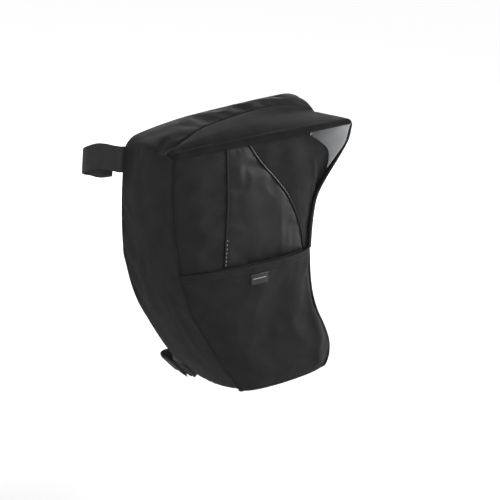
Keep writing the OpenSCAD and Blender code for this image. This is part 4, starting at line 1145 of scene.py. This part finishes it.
def strap_loop(name, seam, width, across, drop, gap, near, slide, hook_span, loop_body, end_body):
    w = unit(np.array(width))
    c = unit(np.array(across, float) - w * (np.array(across, float) @ w))
    into = np.array([-w[2], 0, w[0]]) * (-1 if w[2] > 0 else 1)
    root = np.array([seam[0], -1.0, seam[2]]) - into * HINGE_OUT - w * slide
    out = np.cross(w, c)
    u = np.linspace(0, 1, 110)

    def path(u):
        p = along(loop_shape(gap, near), u)
        reach = ROOT_GAP + p[..., :1] * (LOOP_LONG - ROOT_GAP)
        return root + out * reach + c * p[..., 1:2] - w * (p[..., 2:3] * drop)

    line = path(u)
    n = unit(np.cross(w, np.gradient(line, axis=0)))
    q = np.linspace(-1, 1, 17)
    half = WEB_THICK / 2 * (1 - 0.45 * np.abs(q) ** 8)
    cross_w = w[None, None] * (q * WEB / 2)[None, :, None]
    front = line[:, None] + cross_w + n[:, None] * half[None, :, None]
    back = line[:, None] + cross_w - n[:, None] * half[None, :, None]
    webbing = shell_piece(f"{name}_webbing", front, back, webbing_paint, roll=0.15)
    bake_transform(webbing)
    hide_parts(f"{name}_strap", f"{name}_tail")
    x = np.linspace(ROOT_LONG, 2.5, 16)
    flat = root + into * x[:, None]
    bend = np.array([root + into * 1.2, root + out * 0.2, root + out * 1.4, root + out * 2.6, root + out * 4.2])
    line = np.concatenate([flat, along(bend, np.linspace(0, 1, 14))])
    n = unit(np.cross(w, np.gradient(line, axis=0)))
    half = 1.05 * (1 - 0.4 * np.abs(q) ** 8)
    low = 0.8 * (1 - 0.4 * np.abs(q) ** 8)
    ramp = np.clip((np.arange(len(line)) - 15) / 4, 0, 1)[:, None]
    thick = mix(low[None], half[None], ramp)
    cross_w = w[None, None] * (q * (WEB / 2 + 0.15))[None, :, None]
    root_web = shell_piece(f"{name}_root_webbing", line[:, None] + cross_w + n[:, None] * thick[..., None],
                           line[:, None] + cross_w - n[:, None] * thick[..., None], webbing_paint, roll=0.1)
    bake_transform(root_web)
    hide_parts(f"{name}_root")
    for tape, span, body in (("loop", (0.03, 0.2), loop_body), ("hook", hook_span, end_body)):
        line = path(np.linspace(*span, 24))
        n = unit(np.cross(w, np.gradient(line, axis=0)))
        cross_w = w[None, None] * (q * (WEB - 3) / 2)[None, :, None]
        near_face, far_face = [line[:, None] + cross_w - n[:, None] * d for d in (WEB_THICK / 2, WEB_THICK / 2 + 1)]
        patch = shell_piece(f"{name}_{tape}_tape", near_face, far_face, hook_paint, roll=0.1)
        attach(patch, body)
        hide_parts(f"{name}_{tape}_patch")
    return webbing


def slope(outline, t):
    return rear_at(outline, t + 0.1) - rear_at(outline, t - 0.1)


upper_t = (96 - HEM) / (LEFT_REAR_UP[-1][1] - HEM)
upper_web = strap_loop("upper", rear_at(LEFT_REAR_UP, upper_t), slope(LEFT_REAR_UP, 0.9), (1, 1, 0), 9, 15, 0, 0,
                       (0.84, 0.985), "upper_loop", "upper_end")
lower_web = strap_loop("lower", rear_at(LEFT_REAR_LOW, 0.05), -slope(LEFT_REAR_LOW, 0.1), (-1, 0, -1), 2, 9, 5, 0,
                       (0.56, 0.985), "lower_loop", "lower_end")

# ---------- stitches ----------
# Rows of thread set one by one along a line: black on the hem, hood, wing, binding and back pad, and a few
# pale ones that show beside the insert, just above the pocket.
def stitch_group():
    g = bpy.data.node_groups.new("stitch_row", "GeometryNodeTree")
    for name, kind in (("Line", "NodeSocketGeometry"), ("Pitch", "NodeSocketFloat"), ("Length", "NodeSocketFloat"),
                       ("Thickness", "NodeSocketFloat"), ("Seed", "NodeSocketInt"), ("Thread", "NodeSocketMaterial")):
        g.interface.new_socket(name=name, in_out="INPUT", socket_type=kind)
    g.interface.new_socket(name="Stitches", in_out="OUTPUT", socket_type="NodeSocketGeometry")
    add, link = g.nodes.new, g.links.new
    given = add("NodeGroupInput")
    curve = add("GeometryNodeMeshToCurve")
    link(given.outputs["Line"], curve.inputs["Mesh"])
    spaced = add("GeometryNodeResampleCurve")
    spaced.mode = "LENGTH"
    link(curve.outputs[0], spaced.inputs["Curve"])
    link(given.outputs["Pitch"], spaced.inputs["Length"])
    bead = add("GeometryNodeMeshUVSphere")
    bead.inputs["Segments"].default_value, bead.inputs["Rings"].default_value = 7, 6
    bead.inputs["Radius"].default_value = 0.5
    uneven = add("FunctionNodeRandomValue")
    uneven.data_type = "FLOAT"
    floats = [socket for socket in uneven.inputs if socket.type == "VALUE"]
    floats[0].default_value, floats[1].default_value = 0.85, 1.1
    link(given.outputs["Seed"], uneven.inputs["Seed"])
    drawn = [socket for socket in uneven.outputs if socket.type == "VALUE"][0]
    long = add("ShaderNodeMath")
    long.operation = "MULTIPLY"
    link(given.outputs["Length"], long.inputs[0])
    link(drawn, long.inputs[1])
    size = add("ShaderNodeCombineXYZ")
    link(given.outputs["Thickness"], size.inputs[0])
    link(given.outputs["Thickness"], size.inputs[1])
    link(long.outputs[0], size.inputs[2])
    turned = add("FunctionNodeAlignRotationToVector")
    turned.axis = "Z"
    link(add("GeometryNodeInputTangent").outputs[0], turned.inputs["Vector"])
    placed = add("GeometryNodeInstanceOnPoints")
    link(spaced.outputs[0], placed.inputs["Points"])
    link(bead.outputs[0], placed.inputs["Instance"])
    link(turned.outputs[0], placed.inputs["Rotation"])
    link(size.outputs[0], placed.inputs["Scale"])
    real = add("GeometryNodeRealizeInstances")
    link(placed.outputs[0], real.inputs[0])
    round_ = add("GeometryNodeSetShadeSmooth")
    link(real.outputs[0], round_.inputs[0])
    dyed = add("GeometryNodeSetMaterial")
    link(round_.outputs[0], dyed.inputs["Geometry"])
    link(given.outputs["Thread"], dyed.inputs["Material"])
    link(dyed.outputs[0], add("NodeGroupOutput").inputs[0])
    return g


STITCHES = stitch_group()


def thread_paint(name, dark, light):
    paint = bpy.data.materials.new(name)
    paint.use_nodes = True
    t = paint.node_tree
    place = t.nodes.new("ShaderNodeTexCoord")
    strands = t.nodes.new("ShaderNodeTexNoise")
    strands.inputs["Scale"].default_value = 2500
    ramp = t.nodes.new("ShaderNodeValToRGB")
    ramp.color_ramp.elements[0].color, ramp.color_ramp.elements[1].color = (*dark, 1), (*light, 1)
    t.links.new(place.outputs["Object"], strands.inputs["Vector"])
    t.links.new(strands.outputs[0], ramp.inputs[0])
    t.links.new(ramp.outputs[0], t.nodes["Principled BSDF"].inputs["Base Color"])
    t.nodes["Principled BSDF"].inputs["Roughness"].default_value = 0.55
    t.nodes["Principled BSDF"].inputs["Specular IOR Level"].default_value = 0.3
    return paint


black_thread = thread_paint("black_thread", (0.008, 0.008, 0.008), (0.022, 0.022, 0.023))
pale_thread = thread_paint("pale_thread", (0.35, 0.35, 0.35), (0.55, 0.55, 0.55))


def stitches(name, lines, body, thread=black_thread, pitch=3.2, length=2.4, thick=0.55, seed=1):
    """Rows of stitches along one or more lines of points, as one piece."""
    points, edges = [], []
    for line in lines:
        base = len(points)
        points += [tuple(p * MM) for p in line]
        edges += [(base + n, base + n + 1) for n in range(len(line) - 1)]
    mesh = bpy.data.meshes.new(name)
    mesh.from_pydata(points, edges, [])
    row = bpy.data.objects.new(name, mesh)
    bpy.context.scene.collection.objects.link(row)
    sewing = row.modifiers.new("sewing", "NODES")
    sewing.node_group = STITCHES
    given = {"Pitch": pitch * MM, "Length": length * MM, "Thickness": thick * MM, "Seed": seed, "Thread": thread}
    for socket in STITCHES.interface.items_tree:
        if socket.in_out == "INPUT" and socket.name in given:
            sewing[socket.identifier] = given[socket.name]
    sewn = bpy.data.meshes.new_from_object(row.evaluated_get(bpy.context.evaluated_depsgraph_get()))
    row.modifiers.remove(sewing)
    row.data = sewn
    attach(row, body)
    return row


hem_line = (hem_under + hem_out * (lift + 0.12)[..., None])[1, 1:-1]
stitches("hem_stitches", [hem_line], "bag")
left_tree = surface_of(*[bpy.data.objects[n] for n in ("front_left_panel", "coated_insert", "left_piping")])
ends = [np.array(on_surface(n, left_tree)) / MM for n in ("stitches_top", "stitches_foot")]
pale_line = draped(mix(ends[0], ends[1], np.linspace(0, 1, 16)[:, None]), left_tree) + np.array([0, -0.1, 0])
stitches("insert_stitches", [pale_line], "bag", pale_thread, pitch=3.6, length=2.0, thick=0.7)
lip_line = cover_outer[-12, 3:-2] - cover_down[-12, 3:-2] * 0.12
stitches("hood_lip_stitches", [lip_line], "lid")
w = np.linspace(0.03, 0.985, 90)
wing_line = wing_at(w, 0.95) - unit(wing_at(w, 0.95, 1.0) - wing_at(w, 0.95)) * 0.12
stitches("wing_stitches", [wing_line], "lid")
stitches("binding_stitches", [(seam_line + seam_out * 1.0 - back_way * 1.35)[:-8]], "bag", pitch=2.8)
pad_row = np.concatenate([pad_edge, pad_edge[:1]]) * 0.965
pad_row[:, 1] = -0.05
stitches("pad_stitches", [pad_row], "bag")

# ---------- sheets ----------
# The flat area of some sewn sheets, worked out and not kept. The pocket's comes from its pattern, before it settles.
# The others' come from their flat map, whose rows and columns are measured along the finished surface.
def cut_sheet(piece, pattern=None):
    if pattern is None:
        mesh = piece.data
        flat_map = np.empty(len(mesh.loops) * 2)
        mesh.uv_layers[0].data.foreach_get("uv", flat_map)
        flat_map = flat_map.reshape(-1, 2)
        area = 0.0
        for face in mesh.polygons:
            x, y = flat_map[list(face.loop_indices)].T
            area += abs(float(x @ np.roll(y, -1) - y @ np.roll(x, -1))) / 4  # a sheet has two faces
    else:
        grid = pattern * MM
        across, up = grid[1:, 1:] - grid[:-1, :-1], grid[1:, :-1] - grid[:-1, 1:]
        area = float(np.linalg.norm(np.cross(across, up), axis=2).sum() / 2)


cut_sheet(pocket, pattern=pocket_outer)
cut_sheet(hood_under)
cut_sheet(wing)
cut_sheet(wing_under)
for name, on in (("side_lining", "side_strip"), ("front_lining_sheet", "front_base_panel"),
                 ("back_lining_sheet", "back_panel_padded")):
    cut_sheet(bpy.data.objects[name])

# ---------- size, points and the end ----------
def most(pieces, key):
    """Of the pieces' finished vertices, as they show in the picture, the one with the largest key."""
    seen = [image_point(v.co) for piece in pieces for v in piece.data.vertices]
    return max(seen, key=key)


def nearest(line, name):
    """Where a line shows, at the height or place of its point."""
    return min((image_point(p * MM) for p in line), key=lambda q: math.dist(q, POINTS[name]))


shown = [o for o in bpy.data.objects if o.type == "MESH" and not o.hide_render and o.name != "studio_floor"]
found = {
    "left": most(shown, lambda q: -q[0]), "right": most(shown, lambda q: q[0]), "top": most(shown, lambda q: -q[1]),
    "bottom": most(shown, lambda q: q[1]), "front_corner": image_point(front_at(0.0, 2.0) * MM),
    "hood_tip": most([cover], lambda q: q[0]), "hood_seam_peak": nearest(cover_outer[0], "hood_seam_peak"),
    "hood_lip_middle": nearest(cover_outer[-1], "hood_lip_middle"), "hem_left": nearest(hem_under[-1], "hem_left"),
    "hem_right": nearest(hem_under[-1], "hem_right"), "insert_left_top": nearest(upper_front[:, 24], "insert_left_top"),
    "insert_right_foot": nearest(upper_front[:, 60], "insert_right_foot"),
    "insert_right_middle": nearest(upper_front[:, 60], "insert_right_middle"),
    "label": image_point(sum((v.co for v in label.data.vertices), Vector()) / len(label.data.vertices)),
    "pocket_foot": nearest(seam_line, "pocket_foot"),
    "panel_corner": nearest(upper_front[:, -1], "panel_corner"), "stitches_top": image_point(pale_line[0] * MM),
    "stitches_foot": image_point(pale_line[-1] * MM),
    "upper_loop_rim": min((image_point(v.co) for v in upper_web.data.vertices), key=lambda q: math.dist(q, POINTS["upper_loop_rim"])),
    "lower_loop": most([lower_web], lambda q: -q[0]),
}
